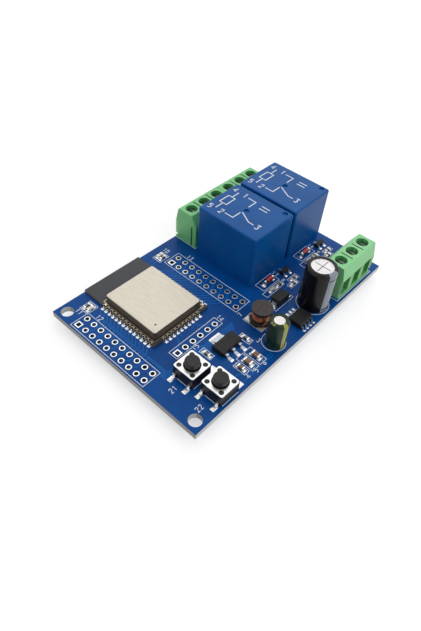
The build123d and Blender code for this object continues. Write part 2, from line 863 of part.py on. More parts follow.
def button_body():
    """A moulded cup with a well for the plunger and four posts that rivet the cover down."""
    body = block(button_side - 2 * seat_clearance, button_side - 2 * seat_clearance,
                 button_body_height)
    body = body - post(button_well_diameter, button_body_height, z=button_well_floor)
    for rivet in rivets(button_rivet_diameter, button_cover_thickness, button_body_height):
        body = body + rivet
    return body


def button_cover():
    cover = block(button_side, button_side, button_cover_thickness, z=button_body_height)
    cover = fillet(vertical_edges(cover), button_cover_corner_radius)
    through = button_cover_thickness + 2 * cut_overrun
    holes = rivets(button_rivet_diameter + 2 * seat_clearance, through,
                   button_body_height - cut_overrun)
    return cover - holes - post(button_cover_hole_diameter, through,
                                z=button_body_height - cut_overrun)


def button_plunger():
    """A round key held under the cover by its flange."""
    flange = post(plunger_flange_diameter, plunger_flange_thickness, z=plunger_flange_bottom)
    stem = post(plunger_diameter, button_top + plunger_rise - plunger_flange_top,
                z=plunger_flange_top)
    stem = fillet(top_edges(stem), plunger_edge_radius)
    return flange + stem


def button_dome():
    """The snap disc under the plunger: a shallow cap of thin sheet."""
    radius = button_well_diameter / 2 - seat_clearance
    rim_top = button_well_floor + dome_thickness
    under_top = dome_top - dome_thickness
    upper = TangentArc((0, 0, dome_top), (radius, 0, rim_top), tangent=(1, 0, 0))
    lower = TangentArc((0, 0, under_top), (radius, 0, button_well_floor), tangent=(1, 0, 0))
    middle = Line((0, 0, under_top), (0, 0, dome_top))
    rim = Line((radius, 0, button_well_floor), (radius, 0, rim_top))
    return revolve(make_face([upper, rim, lower, middle]), Axis.Z)


def gull_lead(reach, foot, width, thickness, height):
    """A lead that leaves a body level, steps down and ends in a foot. X = 0 is the body's side."""
    knee = (reach - foot) / 2
    outline = [(0, height), (knee + thickness / 2, height), (knee + thickness, thickness),
               (reach, thickness), (reach, 0), (knee, 0), (knee - thickness / 2, height - thickness),
               (0, height - thickness)]
    return side_prism(outline, width)


def button_leads():
    lead = gull_lead(button_lead_reach, button_lead_foot, button_lead_width, button_lead_thickness,
                     button_lead_height)
    leads = []
    for end in (-1, 1):
        for side in (-1, 1):
            leads.append(Pos(side * button_lead_pitch / 2, end * button_side / 2, 0)
                         * Rot(0, 0, end * 90) * lead)
    return leads


# Electrolytic capacitors: an aluminium can in a shrunk sleeve, closed by a bung

def ring_groove(diameter, depth, width, z):
    """The rolled groove that holds the bung, as a ring with a half-round section."""
    section = Pos(diameter / 2, 0, z) * Rot(90, 0, 0) * Ellipse(depth, width / 2)
    return revolve(section, Axis.Z)


def capacitor_can(diameter, height):
    outer = diameter - 2 * sleeve_thickness - 2 * seat_clearance
    bottom = capacitor_standoff
    can = post(outer, height - bottom, z=bottom)
    can = fillet(top_edges(can), can_edge_radius)
    can = can - ring_groove(outer, can_groove_depth, can_groove_width, bottom + bung_height / 2)
    if diameter >= vent_score_least_diameter:
        score = block(vent_score_length_share * outer, vent_score_width,
                      vent_score_depth + cut_overrun, z=height - vent_score_depth)
        can = can - score - Rot(0, 0, 90) * score
    inner = outer - 2 * can_wall - 2 * can_groove_depth
    return can - post(inner, height - bottom - can_wall + cut_overrun, z=bottom - cut_overrun)


def capacitor_sleeve(diameter, height):
    """A thin sleeve that hugs the can and folds in over the top's rounded edge."""
    bottom = capacitor_standoff
    top = height + seat_clearance + sleeve_thickness
    bend = can_edge_radius + sleeve_thickness + seat_clearance
    outside = post(diameter, top - bottom, z=bottom)
    outside = fillet(top_edges(outside), bend)
    under = top - sleeve_thickness
    inside = post(diameter - 2 * sleeve_thickness, under - bottom + cut_overrun,
                  z=bottom - cut_overrun)
    inside = fillet(top_edges(inside), bend - sleeve_thickness)
    opening = post(diameter * (1 - 2 * sleeve_lip_share), cut_overrun + sleeve_thickness,
                   z=under - cut_overrun / 2)
    return outside - inside - opening


def capacitor_core_diameter(diameter):
    outer = diameter - 2 * sleeve_thickness - 2 * seat_clearance
    return outer - 2 * can_wall - 2 * can_groove_depth - 2 * seat_clearance


def capacitor_bung(diameter, pitch):
    bung = post(capacitor_core_diameter(diameter), bung_height, z=capacitor_standoff)
    hole = capacitor_lead_diameter + 2 * seat_clearance
    holes = [post(hole, bung_height + 2 * cut_overrun, 0, side * pitch / 2, capacitor_standoff
                  - cut_overrun) for side in (-1, 1)]
    return bung - holes


def capacitor_roll(diameter, height):
    """The wound foil inside the can, over the bung."""
    bottom = capacitor_standoff + bung_height + capacitor_standoff
    return post(capacitor_core_diameter(diameter), height - can_wall - capacitor_standoff - bottom,
                z=bottom)


def capacitor_leads(pitch):
    length = board_top + capacitor_standoff + bung_height + capacitor_standoff - seat_clearance
    return [post(capacitor_lead_diameter, length, 0, side * pitch / 2, -board_top)
            for side in (-1, 1)]


# Drum inductor: a ferrite drum on a square base, wound with one copper wire

winding_pitch = winding_wire_diameter + winding_gap
winding_climb = winding_quarter_turns / 4 * winding_pitch
winding_radius = inductor_diameter / 2 - winding_rim - winding_wire_diameter / 2
hub_diameter = 2 * (winding_radius - winding_wire_diameter / 2 - winding_hub_gap)
window_height = winding_climb + winding_wire_diameter + 2 * winding_end_gap
window_bottom = inductor_base_height + inductor_flange
winding_bottom = window_bottom + winding_end_gap + winding_wire_diameter / 2


def inductor_core():
    base = block(inductor_base_side, inductor_base_side, inductor_base_height)
    lower = post(inductor_diameter, inductor_flange, z=inductor_base_height)
    hub = post(hub_diameter, window_height, z=window_bottom)
    upper = post(inductor_diameter, inductor_flange, z=window_bottom + window_height)
    return base + lower + hub + upper


def biarc(start, start_way, end, end_way):
    """Two arcs from start to end that meet smoothly and follow the given directions."""
    across = end - start
    spread = 2 * (1 - start_way.dot(end_way))
    slope = 2 * across.dot(start_way + end_way)
    root = sqrt(slope * slope + 4 * spread * across.dot(across))
    reach = (root - slope) / (2 * spread)
    joint = (start + end + (start_way - end_way) * reach) / 2
    joint_way = joint - start - start_way * reach
    return [TangentArc(start, joint, tangent=start_way), TangentArc(joint, end, tangent=joint_way)]


def helix_point(turn):
    """A point of the winding and the wire's direction there, a number of turns from its start."""
    angle = 2 * pi * turn
    point = Vector(winding_radius * cos(angle), winding_radius * sin(angle),
                   winding_bottom + winding_pitch * turn)
    way = Vector(-2 * pi * winding_radius * sin(angle), 2 * pi * winding_radius * cos(angle),
                 winding_pitch)
    return point, way.normalized()


def end_corner(point, way):
    """Where a wire end that runs straight off the hub turns down, over the base's corner."""
    return point + way * (winding_radius / sqrt(way.X ** 2 + way.Y ** 2))


def inductor_wire_path():
    """Up from one corner of the base, round the hub in quarter turns, down to the far corner."""
    bend = winding_bend_share * winding_wire_diameter
    up, down = Vector(0, 0, 1), Vector(0, 0, -1)
    first, first_way = helix_point(0)
    last, last_way = helix_point(winding_quarter_turns / 4)
    corner = end_corner(first, -first_way)
    bend_start = corner + down * bend
    bend_end = corner + first_way * bend
    path = [Line((corner.X, corner.Y, inductor_base_height), bend_start),
            TangentArc(bend_start, bend_end, tangent=up), Line(bend_end, first)]
    for quarter in range(winding_quarter_turns):
        path += biarc(*helix_point(quarter / 4), *helix_point((quarter + 1) / 4))
    corner = end_corner(last, last_way)
    bend_start = corner - last_way * bend
    bend_end = corner + down * bend
    path += [Line(last, bend_start), TangentArc(bend_start, bend_end, tangent=last_way),
             Line(bend_end, (corner.X, corner.Y, inductor_base_height))]
    return Wire(path)


def least_wire_gap(path):
    """Clear distance between stretches of the wire that lie a half turn or more apart."""
    steps_per_turn = 64
    turn_length = 2 * pi * winding_radius
    count = round(path.length / turn_length * steps_per_turn)
    points = [tuple(path @ (step / count)) for step in range(count + 1)]
    nearest = min(dist(points[a], points[b]) for a in range(len(points))
                  for b in range(a + steps_per_turn // 2, len(points)))
    return nearest - winding_wire_diameter


def inductor_winding():
    path = inductor_wire_path()
    section = Plane(origin=path @ 0, z_dir=path % 0) * Circle(winding_wire_diameter / 2)
    print("least gap between the inductor's turns", round(least_wire_gap(path), 3))
    return sweep(section, path=path)


# Chips with bent leads

def chip_body(length, width, height):
    """A moulded body, a little above the board, with its upper long edges bevelled."""
    half = width / 2
    outline = [(-half, chip_belly_gap), (half, chip_belly_gap), (half, height - chip_edge_chamfer),
               (half - chip_edge_chamfer, height), (chip_edge_chamfer - half, height),
               (-half, height - chip_edge_chamfer)]
    return side_prism(outline, length)


def chip_lead_row(offsets, body_width, span, width, height, side):
    """Bent leads along one side of a chip whose body lies along Y."""
    reach = (span - body_width) / 2
    lead = gull_lead(reach, min(chip_lead_foot, reach / 2), width, chip_lead_thickness, height)
    turn = 0 if side > 0 else 180
    return [Pos(side * body_width / 2, offset, 0) * Rot(0, 0, turn) * lead for offset in offsets]


def regulator():
    body = chip_body(regulator_length, regulator_width, regulator_height)
    lead_height = regulator_height / 2
    leads = chip_lead_row(centred_row(3, regulator_lead_pitch), regulator_width, regulator_span,
                          regulator_lead_width, lead_height, 1)
    leads += chip_lead_row([0], regulator_width, regulator_span, regulator_tab_width, lead_height, -1)
    return body, leads


def converter():
    body = chip_body(converter_length, converter_width, converter_height)
    offsets = centred_row(converter_leads_per_side, converter_lead_pitch)
    leads = []
    for side in (-1, 1):
        leads += chip_lead_row(offsets, converter_width, converter_span, converter_lead_width,
                               converter_height / 2, side)
    return body, leads


def rectifier():
    body = Rot(0, 0, 90) * chip_body(rectifier_width, rectifier_length, rectifier_height)
    ends = []
    for side in (-1, 1):
        ends += chip_lead_row([0], rectifier_length, rectifier_span, rectifier_end_width,
                              rectifier_height / 2, side)
    return body, [Rot(0, 0, 90) * end for end in ends]


def transistor():
    body = chip_body(transistor_length, transistor_width, transistor_height)
    leads = chip_lead_row([-transistor_lead_pitch / 2, transistor_lead_pitch / 2], transistor_width,
                          transistor_span, transistor_lead_width, transistor_height / 2, 1)
    leads += chip_lead_row([0], transistor_width, transistor_span, transistor_lead_width,
                           transistor_height / 2, -1)
    return body, leads


def power_chips():
    """The regulator, the converter and the rectifier, each with its place."""
    return [(regulator(), front_right(regulator_right_distance, regulator_front_distance)),
            (converter(), (converter_x, converter_y)), (rectifier(), (rectifier_x, rectifier_y))]


def driver_transistors():
    return [(transistor(), (relay_side_x + transistor_relay_gap, y + transistor_relay_offset))
            for y in relay_ys]


def glass_diode():
    """A glass tube with a metal cap on each end, lying along Y."""
    glass_length = glass_diode_length - 2 * glass_diode_cap_length
    glass = Cylinder((glass_diode_diameter - 2 * glass_diode_cap_step) / 2, glass_length)
    lying = Pos(0, 0, glass_diode_diameter / 2) * Rot(90, 0, 0)
    diode = lying * glass
    for side in (-1, 1):
        cap = Pos(0, side * (glass_diode_length - glass_diode_cap_length) / 2, 0) * lying
        diode = diode + cap * Cylinder(glass_diode_diameter / 2, glass_diode_cap_length)
    return diode


def two_ended_chip(length, width, height):
    """A chip resistor or capacitor along Y: a plain body between two slightly larger ends."""
    body = block(width - 2 * chip_end_step, length - 2 * chip_end_length, height - chip_end_step)
    for side in (-1, 1):
        body = body + block(width, chip_end_length, height, 0, side * (length - chip_end_length) / 2)
    return body


def lamp():
    """An indicator lamp: a flat base with a clear block on it."""
    base = block(small_chip_width, small_chip_length, lamp_height * (1 - lamp_lens_share))
    lens = block(small_chip_width, small_chip_length * lamp_lens_share, lamp_height)
    return base + lens


def lying_chip(x, y, chip, turn=0):
    return Pos(x, y, board_top) * Rot(0, 0, turn) * chip


def chip_resistors():
    chip = two_ended_chip(small_chip_length, small_chip_width, small_chip_height)
    resistors = [lying_chip(*front_right(right, front), chip, 90) for right, front
                 in zip(right_resistor_right_distances, right_resistor_front_distances)]
    for y in relay_ys:
        resistors += [lying_chip(relay_side_x + gap, y + offset, chip) for gap, offset
                      in zip(driver_resistor_gaps, driver_resistor_offsets)]
    resistors.append(lying_chip(left_edge + power_pair_left_distances[0],
                                front_edge + power_pair_front_distance, chip))
    resistors.append(lying_chip(left_edge + radio_pair_left_distances[1],
                                far_header_y + radio_pair_row_offset, chip))
    return resistors


def chip_capacitors():
    small = two_ended_chip(small_chip_length, small_chip_width, small_chip_width)
    medium = two_ended_chip(medium_chip_length, medium_chip_width, medium_chip_height)
    capacitors = [lying_chip(*front_right(right_small_capacitor_right_distance,
                                          right_small_capacitor_front_distance), small, 90)]
    for right, front in zip(right_medium_capacitor_right_distances,
                            right_medium_capacitor_front_distances):
        capacitors.append(lying_chip(*front_right(right, front), medium, 90))
    return capacitors


def lamps():
    one = lamp()
    placed = [lying_chip(relay_side_x + driver_lamp_gap, y + driver_lamp_offset, one)
              for y in relay_ys]
    placed.append(lying_chip(left_edge + power_pair_left_distances[1],
                             front_edge + power_pair_front_distance, one))
    placed.append(lying_chip(left_edge + radio_pair_left_distances[0],
                             far_header_y + radio_pair_row_offset, one))
    return placed


def build_board():
    write("circuit_board", circuit_board())


def build_module():
    write("module_board", module_board())
    write("module_shield", module_shield())
    write("module_chips", *module_chips())


def build_relays():
    for number, y in enumerate(relay_ys, 1):
        write(f"relay_{number}_case", at_relay(relay_case(), y))
        write(f"relay_{number}_armature", at_relay(relay_armature(), y))
        write(f"relay_{number}_contact_blade", at_relay(relay_blade(), y))
    for name, make in (("relay_bases", relay_base), ("relay_yokes", relay_yoke),
                       ("relay_cores", relay_core), ("relay_bobbins", relay_bobbin),
                       ("relay_coils", relay_coil)):
        write(name, *[at_relay(make(), y) for y in relay_ys])
    write("relay_fixed_contacts", *[at_relay(contact, y) for y in relay_ys
                                    for contact in relay_fixed_contacts()])
    write("relay_pins", *[at_relay(pin, y) for y in relay_ys for pin in relay_pins()])


def build_terminals():
    for number, (x, y, turn) in enumerate(terminal_blocks(), 1):
        write(f"terminal_{number}_housing", at_way(terminal_housing(), x, y, turn))
    for number, place in enumerate(terminal_way_places(), 1):
        write(f"terminal_screw_{number}", at_way(terminal_screw(), *place))
        write(f"terminal_clamp_{number}", at_way(terminal_clamp(), *place))
    write("terminal_pins", *[at_way(terminal_pin(), *place) for place in terminal_way_places()])


def build_buttons():
    places = [Pos(x, y, board_top) for x, y in button_places()]
    write("button_bodies", *[place * button_body() for place in places])
    write("button_covers", *[place * button_cover() for place in places])
    write("button_domes", *[place * button_dome() for place in places])
    write("button_leads", *[place * lead for place in places for lead in button_leads()])
    for number, place in enumerate(places, 1):
        write(f"button_{number}_plunger", place * button_plunger())


def build_capacitors():
    large = Pos(large_capacitor_x, large_capacitor_y, board_top)
    small = Pos(small_capacitor_x, small_capacitor_y, board_top)
    sizes = {"large": (large, large_capacitor_diameter, large_capacitor_height,
                       large_capacitor_lead_pitch),
             "small": (small, small_capacitor_diameter, small_capacitor_height,
                       small_capacitor_lead_pitch)}
    cans, bungs, rolls, leads = [], [], [], []
    for name, (place, diameter, height, pitch) in sizes.items():
        write(f"{name}_capacitor_sleeve", place * capacitor_sleeve(diameter, height))
        cans.append(place * capacitor_can(diameter, height))
        bungs.append(place * capacitor_bung(diameter, pitch))
        rolls.append(place * capacitor_roll(diameter, height))
        leads += [place * lead for lead in capacitor_leads(pitch)]
    write("capacitor_cans", *cans)
    write("capacitor_bungs", *bungs)
    write("capacitor_rolls", *rolls)
    write("capacitor_leads", *leads)


def build_inductor():
    place = Pos(inductor_x, inductor_y, board_top)
    write("inductor_core", place * inductor_core())
    write("inductor_winding", place * inductor_winding())


def build_chips():
    leads = []
    for name, placed in (("power_chip_bodies", power_chips()),
                         ("transistor_bodies", driver_transistors())):
        bodies = []
        for (body, body_leads), (x, y) in placed:
            bodies.append(Pos(x, y, board_top) * body)
            leads += [Pos(x, y, board_top) * lead for lead in body_leads]
        write(name, *bodies)
    write("chip_leads", *leads)
    write("glass_diodes", *[Pos(relay_side_x + glass_diode_relay_gap, y + glass_diode_relay_offset,
                                board_top) * glass_diode() for y in relay_ys])
    write("chip_resistors", *chip_resistors())
    write("chip_capacitors", *chip_capacitors())
    write("indicator_lamps", *lamps())


build_board()
build_module()
build_relays()
build_terminals()
build_buttons()
build_capacitors()
build_inductor()
build_chips()
print("board", round(board_width, 2), "x", round(board_length, 2))
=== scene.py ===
"""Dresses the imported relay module: finishes, printing, solder, light and camera.

The CAD frame holds every solid piece. This script gives each of them a finish
and adds what lies on them: pads, solder, traces, printing and chip end caps.
Lengths are written in millimetres and turned into metres when a mesh is made.
"""

import json
import logging
from collections.abc import Callable, Sequence
from dataclasses import dataclass, field
from enum import Enum
from functools import reduce
from typing import ClassVar

import bmesh
import bpy
import numpy as np
from mathutils import Matrix

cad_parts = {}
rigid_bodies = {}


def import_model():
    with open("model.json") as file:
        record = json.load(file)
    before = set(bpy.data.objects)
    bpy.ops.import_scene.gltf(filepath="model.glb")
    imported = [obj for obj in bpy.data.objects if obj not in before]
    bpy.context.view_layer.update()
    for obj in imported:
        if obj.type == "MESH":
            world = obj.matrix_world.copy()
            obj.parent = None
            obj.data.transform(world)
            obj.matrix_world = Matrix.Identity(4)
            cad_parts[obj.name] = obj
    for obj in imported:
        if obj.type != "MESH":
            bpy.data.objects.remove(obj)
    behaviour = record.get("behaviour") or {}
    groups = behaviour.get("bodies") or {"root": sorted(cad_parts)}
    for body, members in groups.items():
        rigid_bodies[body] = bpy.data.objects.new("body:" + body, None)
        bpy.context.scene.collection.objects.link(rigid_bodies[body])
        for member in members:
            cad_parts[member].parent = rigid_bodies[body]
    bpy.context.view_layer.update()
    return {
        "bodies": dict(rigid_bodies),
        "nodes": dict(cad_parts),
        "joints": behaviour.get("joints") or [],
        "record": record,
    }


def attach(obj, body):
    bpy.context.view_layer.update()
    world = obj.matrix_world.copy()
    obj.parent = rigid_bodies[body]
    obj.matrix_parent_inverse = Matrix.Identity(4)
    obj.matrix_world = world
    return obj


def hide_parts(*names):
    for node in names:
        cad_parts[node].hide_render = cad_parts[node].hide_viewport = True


log = logging.getLogger("relay_module")

MM = 0.001
MODULE_BODY = "module"
SUPPLY_HOUSING = "terminal_3_housing"

BOARD_UNDERSIDE = 2.0
BOARD_TOP = 3.6
MODULE_TOP = 4.4
SHIELD_TOP = 6.7
RELAY_TOP = 18.9
EMBED = 0.01

RELAY_X = -5.4
RELAY_YS = (11.85, 28.15)
OUTPUT_YS = (7.75, 12.75, 17.75, 22.85, 27.85, 32.85)
SUPPLY_YS = (19.8, 24.8, 29.8)
LARGE_CAN = (19.0, 11.7)
SMALL_CAN = (20.3, -5.7)
CHOKE = (13.4, -2.65)
BUTTONS = ((12.75, -26.25), (20.1, -25.15))
DIODE_YS = tuple(y - 2.6 for y in RELAY_YS)
PITCH = 2.54
SIDES = (-1, 1)
SMOOTH_DEGREES = 40

Colour = tuple[float, float, float]
Point = tuple[float, float]
Box = tuple[float, float, float, float]
Route = list[Point]
Socket = bpy.types.NodeSocket
Tree = bpy.types.NodeTree


def linear(colour: Colour) -> tuple[float, float, float, float]:
    """Turns a display colour into the linear colour that a shader takes.

    Args:
        colour: red, green and blue as 0 to 255 display values.

    Returns:
        Linear red, green, blue and an alpha of one. Dark values are divided by
        12.92; the others are raised to the power 2.4 after an offset.
    """
    shares = np.array(colour, float) / 255
    curve = np.where(shares <= 0.04045, shares / 12.92, ((shares + 0.055) / 1.055) ** 2.4)
    return (float(curve[0]), float(curve[1]), float(curve[2]), 1.0)


def placed(name: str, data: bpy.types.ID) -> bpy.types.Object:
    """Makes an object of its data and links it to the scene."""
    made = bpy.data.objects.new(name, data)
    bpy.context.scene.collection.objects.link(made)
    return made


def layer(surface: float, thickness: float) -> Point:
    """Bottom and top of a thin layer that is sunk slightly into what it lies on."""
    return (surface - EMBED, surface + thickness)


# Surfaces

FIGURE_STEP = 1.7
STROKE_SHARE = 0.3

# Strokes of plain figures on a cell one wide and two high
FIGURES: dict[str, list[list[Point]]] = {
    "0": [[(0, 0), (1, 0), (1, 2), (0, 2), (0, 0.05)]],
    "1": [[(0.2, 1.6), (0.6, 2), (0.6, 0)]],
    "2": [[(0, 1.6), (0.2, 2), (0.9, 2), (1, 1.4), (0, 0), (1, 0)]],
    "3": [[(0, 2), (1, 2), (0.5, 1.2), (1, 0.8), (0.8, 0), (0, 0.1)]],
    "4": [[(0.8, 0), (0.8, 2), (0, 0.6), (1.1, 0.6)]],
    "5": [[(1, 2), (0, 2), (0, 1.2), (0.8, 1.2), (1, 0.5), (0.6, 0), (0, 0)]],
    "6": [[(0.9, 2), (0.2, 1.3), (0, 0.4), (0.4, 0), (1, 0.3), (0.9, 1), (0.1, 1)]],
    "7": [[(0, 2), (1, 2), (0.4, 0)]],
    "8": [[(0.5, 1.1), (0.1, 1.5), (0.5, 2), (0.9, 1.5), (0.5, 1.1), (0, 0.5), (0.5, 0),
           (1, 0.5), (0.55, 1.05)]],
    "9": [[(0.1, 0), (0.8, 0.7), (1, 1.6), (0.6, 2), (0, 1.7), (0.1, 1), (0.9, 1)]],
}


class Axis(Enum):
    """An axis of the shared frame: where a chip lies, figures read or turns follow on."""

    X = "X"
    Y = "Y"
    Z = "Z"


def grid_faces(rows: int, columns: int, wrap_rows: bool, wrap_columns: bool) -> np.ndarray:
    """Quads over a grid of points that is stored row by row.

    Args:
        rows: number of rows.
        columns: number of columns.
        wrap_rows: whether the last row joins the first.
        wrap_columns: whether the last column joins the first.

    Returns:
        Integer array (faces, 4).
    """
    row = np.arange(rows if wrap_rows else rows - 1)
    column = np.arange(columns if wrap_columns else columns - 1)
    row, column = np.meshgrid(row, column, indexing="ij")
    next_row, next_column = (row + 1) % rows, (column + 1) % columns
    corners = [row * columns + column, next_row * columns + column,
               next_row * columns + next_column, row * columns + next_column]
    return np.stack([corner.ravel() for corner in corners], axis=1)


def rectangle(x0: float, x1: float, y0: float, y1: float) -> Route:
    """The four corners of an upright rectangle, anticlockwise."""
    return [(x0, y0), (x1, y0), (x1, y1), (x0, y1)]


class Sheaf:
    """Gathers closed surfaces, in millimetres, into the mesh of one piece."""

    def __init__(self) -> None:
        """Starts with no vertices and no faces."""
        self.points: list[np.ndarray] = []
        self.faces: list[list[int]] = []
        self.count = 0

    def add(self, points: np.ndarray, *face_arrays: np.ndarray) -> None:
        """Adds one array of points with the faces that index into it.

        Args:
            points: array of shape (n, 3).
            face_arrays: integer arrays of shape (faces, corners).
        """
        self.points.append(points)
        for faces in face_arrays:
            self.faces.extend((faces + self.count).tolist())
        self.count += len(points)

    def turned(self, profile: Route, centres: Sequence[Point], half: Point = (1, 1),
               squareness: float = 2, segments: int = 20, closed: bool = False) -> None:
        """Adds one turned surface at each centre.

        A point at angle a and profile step (r, z) stands at
        x = cx + hx r sgn(cos a) |cos a|^(2/n), y = cy + hy r sgn(sin a) |sin a|^(2/n),
        height z, where n is the squareness: 2 gives a circle, more a rounded square.

        Args:
            profile: steps of (radius, height) from the lowest to the highest.
            centres: places in the plan.
            half: stretch along x and y.
            squareness: the outline's exponent.
            segments: points round the outline.
            closed: whether the profile is a loop; otherwise both ends get a flat cap.
        """
        angle = np.arange(segments) * 2 * np.pi / segments
        steps = np.array(profile, float)
        plan = [size * (np.sign(wave) * np.abs(wave) ** (2 / squareness))[:, None] * steps[:, 0]
                for size, wave in zip(half, (np.cos(angle), np.sin(angle)))]
        height = np.broadcast_to(steps[:, 1], plan[0].shape)
        shape = np.stack([*plan, height], axis=2).reshape(-1, 3)
        columns = len(profile)
        ring = np.arange(segments)[None] * columns
        caps = [] if closed else [ring[:, ::-1], ring + columns - 1]
        for centre in centres:
            self.add(shape + np.array([*centre, 0]), grid_faces(segments, columns, True, closed),
                     *caps)

    def boxes(self, places: Sequence[Box], levels: Point, chamfer: float = 0.0) -> None:
        """Adds flat boxes, with their upright corners cut where a chamfer is given.

        Args:
            places: (middle x, middle y, size x, size y) of each box.
            levels: heights of the lower and the upper face.
            chamfer: size of the corner cut.
        """
        corner = np.array([(1, -1, 0, 1), (1, 1, 0, -1), (1, 1, -1, 0), (-1, 1, 1, 0),
                           (-1, 1, 0, -1), (-1, -1, 0, 1), (-1, -1, 1, 0), (1, -1, -1, 0)], float)
        if not chamfer:
            corner = corner[[0, 1, 3, 5]]
        count = len(corner)
        sides, ring = grid_faces(2, count, False, True), np.arange(count)[None]
        for x, y, *size in places:
            outline = (x, y) + corner[:, :2] * np.array(size) / 2 + corner[:, 2:] * chamfer
            points = [np.column_stack([outline, np.full(count, level)]) for level in levels]
            self.add(np.concatenate(points), sides[:, ::-1], ring[:, ::-1], ring + count)

    def strip(self, path: Sequence[Point] | np.ndarray, width: float, levels: Point,
              closed: bool = False) -> None:
        """Adds a flat band along a path, mitred at its corners.

        The cross-section is a rectangle. At each corner it stands across the mean of the
        two runs' normals and is widened by one over the cosine of half the turn.

        Args:
            path: the band's middle line.
            width: the band's width.
            levels: heights of the lower and the upper face.
            closed: whether the last point joins the first.
        """
        line = np.array(path, float)
        runs = np.roll(line, -1, axis=0) - line if closed else np.diff(line, axis=0)
        runs /= np.linalg.norm(runs, axis=1)[:, None]
        if closed:
            before, after = np.roll(runs, 1, axis=0), runs
        else:
            before, after = np.vstack([runs[:1], runs]), np.vstack([runs, runs[-1:]])
        mean = before + after
        mean /= np.linalg.norm(mean, axis=1)[:, None]
        widen = 1 / np.maximum((mean * after).sum(axis=1), 0.5)
        side = np.stack([-mean[:, 1], mean[:, 0]], axis=1) * (widen * width / 2)[:, None]
        bottom, top = levels
        loop = [(side, bottom), (-side, bottom), (-side, top), (side, top)]
        points = np.stack([np.column_stack([line + shift, np.full(len(line), level)])
                           for shift, level in loop], axis=1).reshape(-1, 3)
        end = np.arange(4)[None]
        caps = [] if closed else [end, end[:, ::-1] + 4 * (len(line) - 1)]
        self.add(points, grid_faces(len(line), 4, closed, True), *caps)

    def figures(self, text: str, place: Point, height: float, axis: Axis,
                levels: Point) -> None:
        """Adds plain figures as narrow bands.

        Args:
            text: the figures.
            place: the lower left corner of the first one.
            height: the figures' height.
            axis: the axis along which they read.
            levels: heights of the bands' lower and upper face.
        """
        unit = height / 2
        turn = np.array([[0, 1], [-1, 0]] if axis is Axis.Y else [[1, 0], [0, 1]])
        for step, figure in enumerate(text):
            for stroke in FIGURES[figure]:
                cell = (np.array(stroke, float) + np.array([step * FIGURE_STEP, 0])) * unit
                self.strip(cell @ turn + np.array(place), unit * STROKE_SHARE, levels)

    def piece(self, name: str, finish: "Finish", slot: str, body: str = MODULE_BODY,
              smooth: bool = False) -> bpy.types.Object:
        """Makes the gathered surfaces one object that rides on a body.

        Args:
            name: the piece's name.
            finish: the finish that it wears.
            slot: the record's material slot that the finish stands for; it is not used.
            body: the body that carries the piece.
            smooth: whether the faces are shaded smooth up to an angle.

        Returns:
            The new object, at the origin.
        """
        mesh = bpy.data.meshes.new(name)
        mesh.from_pydata(np.concatenate(self.points) * MM, [], self.faces)
        work = bmesh.new()
        work.from_mesh(mesh)
        bmesh.ops.recalc_face_normals(work, faces=work.faces)
        work.to_mesh(mesh)
        work.free()
        if smooth:
            mesh.shade_smooth()
            mesh.set_sharp_from_angle(angle=np.radians(SMOOTH_DEGREES))
        mesh.materials.append(finish.material())
        made = placed(name, mesh)
        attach(made, body)
        log.info("%s: %d faces", name, len(mesh.polygons))
        return made


def mound(foot: float, rise: float, narrow: float, steps: int, power: float) -> Route:
    """A solder mound's outline: from its foot it gains rise (1 - r)^power as r narrows."""
    share = np.linspace(1, narrow, steps)
    return [(1.0, BOARD_TOP), *zip(share, foot + rise * (1 - share) ** power)]


# Shader groups and finishes


